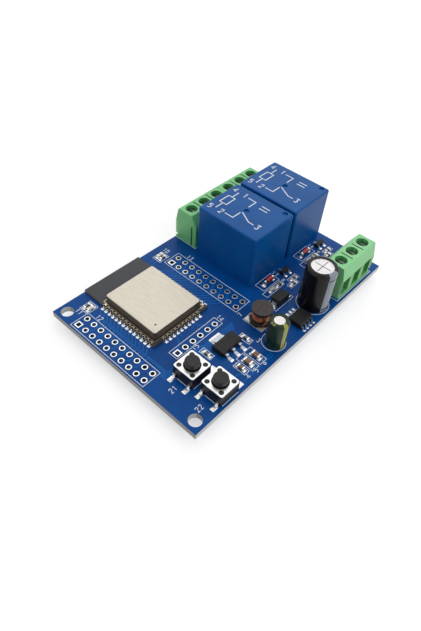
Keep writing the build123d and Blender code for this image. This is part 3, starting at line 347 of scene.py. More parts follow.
class Sheet:
    """A short hand for placing and joining shader nodes in one tree.

    Attributes:
        mix_inputs: a colour Mix node's inputs for the share and its two colours.
        mix_output: that node's output for the colour.
    """

    mix_inputs = (0, 6, 7)
    mix_output = 2

    def __init__(self, tree: Tree) -> None:
        """Keeps the tree that the nodes go into."""
        self.tree = tree

    def node(self, kind: str, **settings: object) -> bpy.types.Node:
        """Adds a node and sets its properties."""
        made = self.tree.nodes.new(kind)
        for key, value in settings.items():
            setattr(made, key, value)
        return made

    def feed(self, socket: Socket, source: object) -> None:
        """Joins an output to a socket, or sets the socket's own value."""
        if isinstance(source, Socket):
            self.tree.links.new(source, socket)
        else:
            socket.default_value = source

    def fed(self, kind: str, sources: dict, **settings: object) -> bpy.types.Node:
        """Adds a node and feeds its inputs, which go by name or number."""
        made = self.node(kind, **settings)
        for key, source in sources.items():
            self.feed(made.inputs[key], source)
        return made

    def math(self, operation: str, *sources: object) -> Socket:
        """Adds a Math node on the given sources and returns its value."""
        return self.fed("ShaderNodeMath", dict(enumerate(sources)), operation=operation).outputs[0]

    def fold(self, operation: str, sources: Sequence[object]) -> Socket:
        """Joins any number of sources by one operation, in their order."""
        return reduce(lambda first, second: self.math(operation, first, second), sources)

    def times(self, *sources: object) -> Socket:
        """The product of the sources."""
        return self.fold("MULTIPLY", sources)

    def blend(self, share: object, first: object, second: object) -> Socket:
        """Mixes two colours by a share and returns the colour."""
        sources = dict(zip(self.mix_inputs, (share, first, second)))
        return self.fed("ShaderNodeMix", sources, data_type="RGBA").outputs[self.mix_output]

    def spread(self, value: object, low: float, high: float, start: float = 0.0,
               end: float = 1.0) -> Socket:
        """Maps a value between start and end onto low to high."""
        sources = {"Value": value, "From Min": start, "From Max": end, "To Min": low,
                   "To Max": high}
        return self.fed("ShaderNodeMapRange", sources).outputs["Result"]

    def noise(self, vector: object, scale: object, detail: float = 2.0) -> Socket:
        """Adds a noise field and returns its value."""
        sources = {"Vector": vector, "Scale": scale, "Detail": detail}
        return self.fed("ShaderNodeTexNoise", sources).outputs["Fac"]

    def scaled(self, vector: Socket, scale: tuple[float, float, float]) -> Socket:
        """A place with its coordinates multiplied."""
        return self.fed("ShaderNodeMapping", {"Vector": vector, "Scale": scale}).outputs["Vector"]

    def axis(self, vector: Socket, axis: str) -> Socket:
        """One coordinate of a vector."""
        return self.fed("ShaderNodeSeparateXYZ", {0: vector}).outputs[axis]

    def coordinate(self, vector: Socket, axis: str) -> Socket:
        """One coordinate of a place, in millimetres."""
        return self.times(self.axis(vector, axis), 1 / MM)

    def offsets(self, vector: Socket, middle: Point) -> list[Socket]:
        """X and Y of a place from a middle, in millimetres."""
        return [self.math("SUBTRACT", self.coordinate(vector, axis), start)
                for axis, start in zip("XY", middle)]

    def facing(self, axis: str, least: float) -> Socket:
        """One where the true normal's share along an axis passes the least."""
        normal = self.node("ShaderNodeNewGeometry").outputs["True Normal"]
        return self.math("GREATER_THAN", self.math("ABSOLUTE", self.axis(normal, axis)), least)

    def within(self, *limits: tuple[object, float, float]) -> Socket:
        """One where each value is within its half of its middle: (value, middle, half)."""
        return self.times(*[self.math("COMPARE", *limit) for limit in limits])

    def among(self, value: Socket, middles: Sequence[float], half: float) -> Socket:
        """One where a value is within half of any of the middles."""
        return self.fold("MAXIMUM", [self.within((value, middle, half)) for middle in middles])


def shared_group(name: str, numbers: dict[str, float], results: Sequence[str],
                 fill: Callable[[Sheet, object, object], None]) -> Tree:
    """A shader group with a Vector input, made on its first use.

    Args:
        name: the group's name.
        numbers: starting value of each number input.
        results: names of the number outputs.
        fill: adds the nodes, given the sheet, the group's inputs and its outputs.
    """
    group = bpy.data.node_groups.get(name)
    if group:
        return group
    group = bpy.data.node_groups.new(name, "ShaderNodeTree")
    group.interface.new_socket("Vector", in_out="INPUT", socket_type="NodeSocketVector")
    for label, start in numbers.items():
        socket = group.interface.new_socket(label, in_out="INPUT", socket_type="NodeSocketFloat")
        socket.default_value = start
    for label in results:
        group.interface.new_socket(label, in_out="OUTPUT", socket_type="NodeSocketFloat")
    sheet = Sheet(group)
    fill(sheet, sheet.node("NodeGroupInput").outputs, sheet.node("NodeGroupOutput").inputs)
    return group


def fill_grain(sheet: Sheet, source: object, target: object) -> None:
    """Tone is noise at the scale, stretched about its middle; Fine is seven times finer."""
    broad = sheet.noise(source["Vector"], source["Scale"], detail=3.0)
    sheet.feed(target["Tone"], sheet.spread(broad, 0.0, 1.0, start=0.3, end=0.7))
    finer = sheet.times(source["Scale"], 7.0)
    sheet.feed(target["Fine"], sheet.noise(source["Vector"], finer))


def fill_dust(sheet: Sheet, source: object, target: object) -> None:
    """Dust is the upward share of the normal, cubed, times patchy noise and the amount."""
    normal = sheet.node("ShaderNodeNewGeometry").outputs["Normal"]
    upward = sheet.math("POWER", sheet.math("MAXIMUM", sheet.axis(normal, "Z"), 0.0), 3.0)
    patches = sheet.noise(source["Vector"], source["Scale"], detail=4.0)
    sheet.feed(target["Dust"], sheet.times(upward, patches, source["Amount"]))


def grain_group() -> Tree:
    """The shared surface grain: broad tone shifts and a fine roughness field."""
    return shared_group("surface_grain", {"Scale": 400.0}, ("Tone", "Fine"), fill_grain)


def handling_group() -> Tree:
    """The shared trace of handling: settled dust on faces that look up."""
    return shared_group("settled_dust", {"Scale": 300.0, "Amount": 0.1}, ("Dust",), fill_dust)


@dataclass(frozen=True)
class Finish:
    """A plain finish with grain, and the base of the patterned ones.

    Attributes:
        name: the material's name.
        colour: main display colour.
        second: display colour that the grain shifts towards.
        rough: least and greatest roughness.
        metallic: metal share.
        grain: width of the tone shifts in millimetres.
        relief: depth of the fine bump in millimetres.
        bump_strength: share of that depth that is shown, on every finish.
        coat: strength of the clear coat.
        coat_roughness: roughness of every clear coat.
        dust: strength of the settled dust.
        dust_colour: display colour of all dust.
        gloss: strength of the mirror share, where 0.5 is that of common plastic.
        stretch: how many times finer the grain is along x, y and z, for a drawn surface.
    """

    name: str
    colour: Colour
    second: Colour
    rough: Point = (0.35, 0.5)
    metallic: float = 0.0
    grain: float = 2.0
    relief: float = 0.004
    coat: float = 0.0
    dust: float = 0.0
    gloss: float = 0.5
    stretch: tuple[float, float, float] = (1, 1, 1)

    bump_strength: ClassVar[float] = 0.6
    coat_roughness: ClassVar[float] = 0.08
    dust_colour: ClassVar[Colour] = (214, 214, 208)

    def colours(self, sheet: Sheet, vector: Socket, tone: Socket) -> Socket:
        """The base colour: the main colour shifted towards the second by the grain."""
        return sheet.blend(tone, linear(self.colour), linear(self.second))

    def metal(self, sheet: Sheet, vector: Socket) -> object:
        """The metal share, as a number or a field."""
        return self.metallic

    def height(self, sheet: Sheet, vector: Socket, fine: Socket) -> Socket:
        """The field that the bump follows."""
        return fine

    def material(self) -> bpy.types.Material:
        """Builds the material once and returns it after that."""
        title = f"{self.name}_finish"
        found = bpy.data.materials.get(title)
        if found:
            return found
        made = bpy.data.materials.new(title)
        made.use_nodes = True
        sheet = Sheet(made.node_tree)
        place = sheet.node("ShaderNodeTexCoord").outputs["Object"]
        sources = {"Vector": sheet.scaled(place, self.stretch), "Scale": 1 / (self.grain * MM)}
        grain = sheet.fed("ShaderNodeGroup", sources, node_tree=grain_group()).outputs
        colour = self.colours(sheet, place, grain["Tone"])
        if self.dust > 0:
            dust = sheet.fed("ShaderNodeGroup", {"Vector": place, "Amount": self.dust},
                             node_tree=handling_group()).outputs["Dust"]
            colour = sheet.blend(dust, colour, linear(self.dust_colour))
        bump = sheet.fed("ShaderNodeBump", {"Height": self.height(sheet, place, grain["Fine"]),
                                            "Strength": self.bump_strength,
                                            "Distance": self.relief * MM})
        look = {"Base Color": colour, "Roughness": sheet.spread(grain["Fine"], *self.rough),
                "Metallic": self.metal(sheet, place), "Specular IOR Level": self.gloss,
                "Normal": bump.outputs["Normal"]}
        if self.coat > 0:
            look |= {"Coat Weight": self.coat, "Coat Roughness": self.coat_roughness}
        for label, source in look.items():
            sheet.feed(made.node_tree.nodes["Principled BSDF"].inputs[label], source)
        return made


@dataclass(frozen=True)
class MaskedLaminate(Finish):
    """Glass laminate: lacquer on its two faces, bare layered cloth on its edges.

    Attributes:
        edge: display colour of the cut edge.
        edge_second: display colour of the edge's darker layers.
        shaded_edge: display colour of the painted shade on the two edges that face along Y.
        ply: width of the edge's tone shifts in millimetres.
        flattening: how many times thinner than wide they are.
        weave: length of one wave of the cloth in millimetres.
    """

    edge: Colour = (214, 216, 210)
    edge_second: Colour = (168, 172, 160)
    # The darker colour of the edges that face along Y is painted shade.
    shaded_edge: Colour = (132, 122, 108)
    ply: float = 0.5
    flattening: float = 5
    weave: float = 0.9

    def colours(self, sheet: Sheet, vector: Socket, tone: Socket) -> Socket:
        """Lacquer where the true normal stands up or down; elsewhere layers along z, with a darker
        painted shade on the edges that face along Y.
        """
        place = sheet.scaled(vector, (1, 1, self.flattening))
        layers = sheet.noise(place, 1 / (self.ply * MM))
        sawn = sheet.blend(layers, linear(self.edge), linear(self.edge_second))
        # Edges that face along Y: the cloth's layers darkened as painted shade.
        rough = sheet.blend(layers, linear(self.edge_second), linear(self.shaded_edge))
        edge = sheet.blend(sheet.facing("Y", 0.9), sawn, rough)
        return sheet.blend(sheet.facing("Z", 0.7), edge, super().colours(sheet, vector, tone))

    def height(self, sheet: Sheet, vector: Socket, fine: Socket) -> Socket:
        """The cloth's weave: half the product of two sine waves along x and y."""
        waves = [sheet.math("SINE", sheet.times(sheet.coordinate(vector, axis),
                                                2 * np.pi / self.weave)) for axis in "XY"]
        return sheet.math("ADD", sheet.times(*waves, 0.5), fine)


@dataclass(frozen=True)
class ShadedSideShield(Finish):
    """A drawn metal lid whose sides take a darker colour than its top: painted shade.

    Attributes:
        side: display colour of the sides, darkened as painted shade.
    """

    # Painted shade on the lid's sides.
    side: Colour = (112, 104, 92)

    def colours(self, sheet: Sheet, vector: Socket, tone: Socket) -> Socket:
        """Top colour where the true normal stands up, the painted-shade side colour elsewhere."""
        top = super().colours(sheet, vector, tone)
        return sheet.blend(sheet.facing("Z", 0.6), linear(self.side), top)


@dataclass(frozen=True)
class StripedSleeve(Finish):
    """A shrunk sleeve with one upright stripe.

    Attributes:
        middle: the can's middle in the plan, in millimetres.
        stripe: display colour of the stripe.
        facing: direction of the stripe from the middle, in degrees.
        half_width: half of the stripe's width, in degrees.
        dash_pitch: height of one minus dash and its gap; zero leaves the dashes out.
        dash_half: half of a dash's thickness, as a share of that height.
        dash_reach: a dash's length as a share of the stripe's width.
        mark_facing: direction of the small frame on the folded rim, in degrees.
        mark_half: half of that frame's width in degrees; zero leaves it out.
        mark_radius: the frame's inner and outer distance from the middle.
        mark_hollow: share of the frame's width and depth that is open.
        mark_level: the frame shows above this height.
    """

    middle: Point = (0, 0)
    stripe: Colour = (170, 176, 184)
    facing: float = 0.0
    half_width: float = 20.0
    dash_pitch: float = 0.0
    dash_half: float = 0.022
    dash_reach: float = 0.85
    mark_facing: float = 0.0
    mark_half: float = 0.0
    mark_radius: Point = (1.6, 2.25)
    mark_hollow: Point = (0.7, 0.5)
    mark_level: float = 10.7

    def mark(self, sheet: Sheet, vector: Socket, angle: Socket, radius: Socket) -> Socket:
        """A frame on the rim: an outer patch less an inner one, by angle and radius."""
        inner, outer = self.mark_radius
        facing, half = np.radians((self.mark_facing, self.mark_half))
        patches = [sheet.within((angle, facing, half * width),
                                (radius, (inner + outer) / 2, (outer - inner) / 2 * depth))
                   for width, depth in ((1.0, 1.0), self.mark_hollow)]
        high = sheet.math("GREATER_THAN", sheet.coordinate(vector, "Z"), self.mark_level)
        return sheet.times(sheet.math("SUBTRACT", *patches), high)

    def colours(self, sheet: Sheet, vector: Socket, tone: Socket) -> Socket:
        """The stripe shows where the angle round the middle is within its half width."""
        across, along = sheet.offsets(vector, self.middle)
        angle = sheet.math("ARCTAN2", along, across)
        facing, half = np.radians((self.facing, self.half_width))
        stripe = sheet.within((angle, facing, half))
        if self.dash_pitch > 0:
            turns = sheet.math("DIVIDE", sheet.coordinate(vector, "Z"), self.dash_pitch)
            dash = sheet.within((sheet.math("FRACT", turns), 0.5, self.dash_half),
                                (angle, facing, half * self.dash_reach))
            stripe = sheet.math("SUBTRACT", stripe, dash)
        if self.mark_half > 0:
            squares = [sheet.times(offset, offset) for offset in (across, along)]
            radius = sheet.math("SQRT", sheet.math("ADD", *squares))
            stripe = sheet.math("ADD", stripe, self.mark(sheet, vector, angle, radius))
        return sheet.blend(stripe, super().colours(sheet, vector, tone), linear(self.stripe))


@dataclass(frozen=True)
class BandedGlass(Finish):
    """A glass diode lying along Y: metal ends, coloured glass and one dark band.

    Attributes:
        middles: the Y of each diode's middle, in millimetres.
        glass_half: half of the glass's length.
        band_offset: where the dark band lies from the middle.
        band_half: half of the band's width.
        band: display colour of the band.
        tips: display colour of the metal ends.
    """

    middles: tuple[float, ...] = ()
    glass_half: float = 1.3
    band_offset: float = -1.0
    band_half: float = 0.26
    band: Colour = (22, 18, 20)
    tips: Colour = (205, 205, 202)

    def colours(self, sheet: Sheet, vector: Socket, tone: Socket) -> Socket:
        """Glass, then the band over it, then the metal ends over both."""
        bands = [middle + self.band_offset for middle in self.middles]
        band = sheet.among(sheet.coordinate(vector, "Y"), bands, self.band_half)
        banded = sheet.blend(band, super().colours(sheet, vector, tone), linear(self.band))
        return sheet.blend(self.metal(sheet, vector), banded, linear(self.tips))

    def metal(self, sheet: Sheet, vector: Socket) -> Socket:
        """Metal outside the glass, which lies within its half length of each middle."""
        glass = sheet.among(sheet.coordinate(vector, "Y"), self.middles, self.glass_half)
        return sheet.math("SUBTRACT", 1.0, glass)


@dataclass(frozen=True)
class Zone:
    """A box that repeats along a terminal block, in millimetres.

    Attributes:
        depth: its middle and half behind the block's front.
        level: its middle and half in height.
        half: half of its width along the block.
    """

    depth: Point
    level: Point
    half: float


@dataclass(frozen=True)
class MouldedHousing(Finish):
    """A terminal block with painted light: deeper green painted shade within the wire entries, wells
    and divider slots, and a painted highlight on the walls between the entries.

    Attributes:
        front: X of the face with the wire entries, in millimetres.
        ways: the Y of each way's middle.
        recess_shade: display colour of the painted shade within the entries and wells.
        slot: display colour of the painted shade in the divider slots.
        rim: display colour of the painted highlight on the thin walls between the entries.
        entry: the wire entry of a way.
        well: the screw well of a way.
        divider: the slot between two ways.
        opening: the part of a way's front that is open between the walls.
        half_pitch: from a way's middle to the slot beside it.
    """

    front: float = 23.1
    ways: tuple[float, ...] = ()
    # Painted light: shade within the entries, wells and slots, and a highlight on the walls between
    # the entries.
    recess_shade: Colour = (76, 170, 94)
    slot: Colour = (40, 112, 56)
    rim: Colour = (192, 238, 184)
    entry: Zone = Zone((3.35, 3.0), (6.6, 2.62), 1.97)
    well: Zone = Zone((3.45, 1.62), (11.3, 2.08), 1.62)
    divider: Zone = Zone((3.35, 1.8), (13.0, 0.42), 0.19)
    opening: Zone = Zone((0.25, 0.33), (6.9, 2.75), 1.86)
    half_pitch: float = 2.5

    def colours(self, sheet: Sheet, vector: Socket, tone: Socket) -> Socket:
        """Boxes round the entries and the wells take the painted shade, slots a darker painted
        shade, and the walls between the entries a painted highlight.
        """
        across, along, level = [sheet.coordinate(vector, axis) for axis in "XYZ"]
        depth = sheet.math("SUBTRACT", abs(self.front), sheet.math("ABSOLUTE", across))
        between = [way + self.half_pitch for way in self.ways[:2] + self.ways[3:5]]
        zones = (self.entry, self.well, self.divider, self.opening)
        bands = [sheet.within((depth, *zone.depth), (level, *zone.level)) for zone in zones]
        spans = [sheet.among(along, between if zone is self.divider else self.ways, zone.half)
                 for zone in zones]
        spans[-1] = sheet.math("SUBTRACT", 1.0, spans[-1])
        entry, well, divider, walls = [sheet.times(*pair) for pair in zip(bands, spans)]
        # The painted highlight on the walls, then the painted shade of the entries, wells and slots.
        ground = sheet.blend(walls, super().colours(sheet, vector, tone), linear(self.rim))
        inner = sheet.blend(sheet.math("MAXIMUM", entry, well), ground, linear(self.recess_shade))
        return sheet.blend(divider, inner, linear(self.slot))


@dataclass(frozen=True)
class DrumCore(Finish):
    """A ferrite drum whose base has plated corners, where its wire is soldered.

    Attributes:
        middle: the drum's middle in the plan, in millimetres.
        reach: the plating starts where |x| + |y| from the middle passes this.
        base_top: height of the base's upper face.
        plating: display colour of the corners.
    """

    middle: Point = CHOKE
    reach: float = 3.95
    base_top: float = 4.02
    plating: Colour = (206, 204, 198)

    def colours(self, sheet: Sheet, vector: Socket, tone: Socket) -> Socket:
        """Mottled ferrite, and plating on the corners."""
        ground = super().colours(sheet, vector, tone)
        return sheet.blend(self.metal(sheet, vector), ground, linear(self.plating))

    def metal(self, sheet: Sheet, vector: Socket) -> Socket:
        """Metal on the base's four corners only."""
        total = sheet.math("ADD", *[sheet.math("ABSOLUTE", offset)
                                    for offset in sheet.offsets(vector, self.middle)])
        low = sheet.math("LESS_THAN", sheet.coordinate(vector, "Z"), self.base_top)
        return sheet.times(low, sheet.math("GREATER_THAN", total, self.reach))


@dataclass(frozen=True)
class WoundLayer(Finish):
    """Close turns of thin wire or foil, shown as fine ridges.

    Attributes:
        axis: the axis along which the turns follow each other.
        wire: width of one turn in millimetres.
    """

    axis: Axis = Axis.Z
    wire: float = 0.18

    def height(self, sheet: Sheet, vector: Socket, fine: Socket) -> Socket:
        """Half of each turn's circle: the root of one minus the square of its offset.

        The one has a small surplus, so that the root never meets a value below zero.
        """
        surplus = 0.001
        turns = sheet.math("DIVIDE", sheet.coordinate(vector, self.axis.value), self.wire)
        offset = sheet.math("MULTIPLY_ADD", sheet.math("FRACT", turns), 2.0, -1.0)
        square = sheet.times(offset, offset)
        return sheet.math("SQRT", sheet.math("SUBTRACT", 1 + surplus, square))


class Palette:
    """Every finish of the module, by the part that wears it."""

    board = MaskedLaminate("board_lacquer", (0, 80, 156), (0, 68, 140), (0.3, 0.4), grain=9,
                           relief=0.006, gloss=0.14, edge=(226, 228, 226),
                           edge_second=(196, 199, 194))
    radio_board = MaskedLaminate("radio_board_lacquer", (34, 36, 44), (26, 28, 36), (0.42, 0.5),
                                 grain=4, relief=0.004, edge=(60, 62, 66),
                                 edge_second=(44, 46, 50))
    shield = ShadedSideShield("shield_steel", (190, 184, 172), (182, 175, 162), (0.4, 0.5), 1.0, 3,
                           0.003, stretch=(1, 5, 1))
    relay_case = Finish("relay_case_blue", (0, 89, 163), (0, 80, 150), (0.28, 0.38), grain=6,
                        relief=0.005, dust=0.004, gloss=0.16)
    # The supply block's green is a lighter copy of the output blocks' green: painted light.
    lit_supply_terminal = MouldedHousing("supply_terminal_green", (146, 222, 154), (137, 216, 146),
                                     (0.36, 0.46), grain=5, relief=0.006, dust=0.04,
                                     front=23.1, ways=SUPPLY_YS)
    output_terminal = MouldedHousing("output_terminal_green", (126, 210, 136), (117, 204, 128),
                                     (0.36, 0.46), grain=5, relief=0.006, dust=0.04, front=-24.0,
                                     ways=OUTPUT_YS)
    black_moulding = Finish("black_moulding", (16, 16, 17), (11, 11, 12), (0.38, 0.5), grain=1.2,
                            relief=0.006, dust=0.015, gloss=0.35)
    plunger = Finish("plunger_black", (14, 14, 16), (10, 10, 12), (0.36, 0.46), grain=0.8,
                     relief=0.006, dust=0.006, gloss=0.35)
    chip = Finish("chip_black", (22, 20, 21), (15, 14, 15), (0.5, 0.62), grain=0.5, relief=0.008,
                  gloss=0.35)
    resistor = Finish("resistor_glaze", (24, 25, 28), (32, 33, 37), (0.2, 0.3), grain=0.4,
                      relief=0.003, coat=0.4)
    ceramic = Finish("ceramic_tan", (134, 104, 78), (118, 90, 66), (0.4, 0.5), grain=0.5,
                     relief=0.004)
    lamp = Finish("lamp_resin", (226, 224, 202), (214, 210, 180), (0.15, 0.25), grain=0.5,
                  relief=0.003, coat=0.6)
    tin = Finish("tinned_metal", (240, 240, 237), (214, 214, 212), (0.2, 0.34), 1.0, 0.6, 0.006)
    solder = Finish("solder_metal", (228, 229, 228), (190, 192, 194), (0.16, 0.32), 1.0, 0.8,
                    0.01)
    pad_plating = Finish("pad_plating", (236, 236, 231), (214, 214, 209), (0.28, 0.4), 1.0, 0.8,
                         0.004)
    gold_plating = Finish("edge_plating", (228, 214, 182), (206, 190, 156), (0.26, 0.36), 1.0,
                          0.6, 0.003)
    plate_steel = Finish("button_plate_steel", (224, 224, 222), (206, 206, 206), (0.24, 0.36),
                         1.0, 1.5, 0.004, stretch=(8, 1, 1))
    formed_lead = Finish("formed_lead", (184, 190, 197), (152, 158, 166), (0.28, 0.44), 1.0, 0.8,
                         0.006)
    # The screw steel's green tint is a painted reflection of the green housing round it.
    screw_steel = Finish("screw_steel", (138, 154, 138), (112, 128, 114), (0.24, 0.4), 1.0, 0.8,
                         0.008)
    clamp_brass = Finish("clamp_plating", (196, 190, 170), (178, 168, 140), (0.26, 0.4), 1.0,
                         1.0, 0.006)
    soft_iron = Finish("soft_iron", (176, 174, 168), (150, 148, 144), (0.3, 0.45), 1.0, 1.5,
                       0.006, stretch=(1, 1, 4))
    contact_brass = Finish("contact_copper", (206, 150, 98), (188, 130, 80), (0.26, 0.4), 1.0,
                           1.0, 0.004)
    bobbin = Finish("bobbin_plastic", (196, 190, 172), (184, 176, 156), (0.45, 0.6), grain=1.5,
                    relief=0.006)
    coil = WoundLayer("coil_copper", (176, 92, 52), (150, 72, 40), (0.3, 0.45), 1.0, 0.5, 0.03,
                      axis=Axis.Z, wire=0.16)
    winding = Finish("winding_copper", (178, 112, 76), (84, 40, 28), (0.2, 0.34), 0.85, 1.6,
                     0.006, coat=0.2)
    ferrite = DrumCore("ferrite_brown", (66, 54, 50), (30, 25, 24), (0.4, 0.6), grain=0.9,
                       relief=0.014, dust=0.02, gloss=0.4)
    can = Finish("can_aluminium", (206, 204, 203), (192, 190, 190), (0.34, 0.46), 1.0, 1.2, 0.004)
    rubber = Finish("bung_rubber", (30, 30, 31), (40, 40, 41), (0.7, 0.85), grain=0.5,
                    relief=0.012)
    foil = WoundLayer("foil_roll", (186, 178, 150), (168, 160, 134), (0.4, 0.55), 0.3, 0.6, 0.02,
                      axis=Axis.X, wire=0.12)
    large_sleeve = StripedSleeve("large_sleeve", (17, 15, 18), (12, 11, 13), (0.2, 0.3), grain=2,
                                 relief=0.006, gloss=0.22, middle=LARGE_CAN,
                                 stripe=(146, 152, 164), facing=-8, half_width=21,
                                 dash_pitch=9.6)
    small_sleeve = StripedSleeve("small_sleeve", (30, 56, 38), (20, 40, 27), (0.2, 0.3), grain=2,
                                 relief=0.006, gloss=0.25, middle=SMALL_CAN,
                                 stripe=(160, 166, 74), facing=-12, half_width=14,
                                 mark_facing=-100, mark_half=17)
    diode = BandedGlass("diode_glass", (206, 30, 44), (176, 18, 30), (0.06, 0.16), grain=0.5,
                        relief=0.002, coat=0.4, middles=DIODE_YS)
    print_white = Finish("printing_white", (236, 242, 248), (222, 229, 237), (0.5, 0.65),
                         grain=0.4, relief=0.006)
    trace = Finish("lacquered_trace", (24, 114, 200), (14, 103, 186), (0.3, 0.4), grain=4,
                   relief=0.004, gloss=0.16)
    # Painted shade: the plated hole walls are coloured dark.
    shaded_hole_wall = Finish("shaded_hole_wall", (52, 56, 62), (38, 42, 48), (0.5, 0.65), 0.6, 0.5, 0.004)
    radio_trace = Finish("lacquered_aerial", (38, 40, 48), (31, 33, 41), (0.4, 0.5), grain=2,
                         relief=0.003)
    # Painted shade of a slot, as a dark green band.
    painted_slot_shade = Finish("painted_slot_shade", (18, 58, 30), (12, 44, 22), (0.5, 0.6), grain=0.4,
                       relief=0.003)
    # Dark marks: the shield's printed dot, and painted shade in the can's vent score.
    mark_and_score_shade = Finish("mark_and_score_shade", (30, 30, 34), (40, 40, 44), (0.5, 0.6), grain=0.4,
                       relief=0.003)


WEARERS: tuple[tuple[Finish, tuple[str, ...]], ...] = (
    (Palette.board, ("circuit_board",)),
    (Palette.radio_board, ("module_board",)),
    (Palette.shield, ("module_shield",)),
    (Palette.chip, ("module_chips", "power_chip_bodies", "transistor_bodies")),
    (Palette.relay_case, ("relay_1_case", "relay_2_case")),
    (Palette.soft_iron, ("relay_1_armature", "relay_2_armature", "relay_cores", "relay_yokes")),
    (Palette.contact_brass, ("relay_1_contact_blade", "relay_2_contact_blade")),
    (Palette.black_moulding, ("relay_bases", "button_bodies")),
    (Palette.bobbin, ("relay_bobbins",)),
    (Palette.coil, ("relay_coils",)),
    (Palette.tin, ("relay_fixed_contacts", "relay_pins", "terminal_pins", "button_leads",
                   "capacitor_leads")),
    (Palette.plate_steel, ("button_covers", "button_domes")),
    (Palette.plunger, ("button_1_plunger", "button_2_plunger")),
    (Palette.rubber, ("capacitor_bungs",)),
    (Palette.can, ("capacitor_cans",)),
    (Palette.foil, ("capacitor_rolls",)),
    (Palette.large_sleeve, ("large_capacitor_sleeve",)),
    (Palette.small_sleeve, ("small_capacitor_sleeve",)),
    (Palette.ferrite, ("inductor_core",)),
    (Palette.winding, ("inductor_winding",)),
    (Palette.formed_lead, ("chip_leads",)),
    (Palette.resistor, ("chip_resistors",)),
    (Palette.ceramic, ("chip_capacitors",)),
    (Palette.lamp, ("indicator_lamps",)),
    (Palette.diode, ("glass_diodes",)))
NODE_FINISHES = {node: finish for finish, nodes in WEARERS for node in nodes}


def node_finish(node: str) -> Finish:
    """The finish of a CAD node; housings, screws and clamps go by their kind."""
    if node in NODE_FINISHES:
        return NODE_FINISHES[node]
    if node.endswith("_housing"):
        return Palette.lit_supply_terminal if node == SUPPLY_HOUSING else Palette.output_terminal
    if node.startswith("terminal_screw"):
        return Palette.screw_steel
    return Palette.clamp_brass


def dress_nodes(nodes: dict[str, bpy.types.Object]) -> None:
    """Gives every CAD node its finish through its own material slots."""
    for name, node in nodes.items():
        material = node_finish(name).material()
        for slot in node.material_slots:
            slot.material = material
    log.info("dressed %d nodes", len(nodes))


# Sub-assemblies


@dataclass
class PlatedHoles:
    """The pads and plated walls of the header holes; the walls are coloured dark as painted shade.
    """

    near_start: Point = (-16.30, -34.90)
    far_start: Point = (-16.62, -3.60)
    single_start: Point = (6.37, -24.35)
    columns: int = 10
    single_count: int = 6
    wall_radius: float = 0.47
    hole_radius: float = 0.5
    ring_inner: float = 0.52
    pad_radius: float = 0.76
    square_half: float = 0.69
    square_band: float = 0.28
    thickness: float = 0.035
    wall_reach: float = 0.005
    ease: float = 0.01

    def places(self) -> Route:
        """Middles of all header holes."""
        doubles = [(start[0] + column * PITCH, start[1] + row * PITCH)
                   for start in (self.near_start, self.far_start)
                   for column in range(self.columns) for row in range(2)]
        x, y = self.single_start
        return doubles + [(x, y + row * PITCH) for row in range(self.single_count)]

    def ring(self, bottom: float, top: float) -> Route:
        """The section of a flat ring round a hole, with its upper edge eased."""
        inner, outer, shoulder = self.ring_inner, self.pad_radius, top - self.ease
        return [(inner, bottom), (outer, bottom), (outer, shoulder),
                (outer - 3 * self.ease, top), (inner + 2 * self.ease, top), (inner, shoulder)]

    def build(self) -> None:
        """Adds the rings on both faces, a square at each first hole, and the walls, coloured dark as
        painted shade.
        """
        above = layer(BOARD_TOP, self.thickness)
        below = (BOARD_UNDERSIDE - self.thickness, BOARD_UNDERSIDE + EMBED)
        firsts = (self.near_start, self.far_start, self.single_start)
        others = [place for place in self.places() if place not in firsts]
        sheaf, walls = Sheaf(), Sheaf()
        sheaf.turned(self.ring(*above), others, closed=True)
        sheaf.turned(self.ring(*below), self.places(), closed=True)
        half = self.square_half
        for x, y in firsts:
            sheaf.strip(rectangle(x - half, x + half, y - half, y + half), self.square_band,
                        above, closed=True)
        sheaf.piece("header_pads", Palette.pad_plating, "tinned_copper")
        low, high = below[0] - self.wall_reach, above[1] + self.wall_reach
        wall = rectangle(self.wall_radius, self.hole_radius, low, high)
        walls.turned(wall, self.places(), closed=True)
        walls.piece("hole_walls", Palette.shaded_hole_wall, "tinned_copper")


@dataclass(frozen=True)
class Cone:
    """A solder cone round a tail.

    Attributes:
        pad: radius of its foot.
        tip: radius of its narrow end.
        reach: how far it stands off the board.
    """

    pad: float
    tip: float
    reach: float


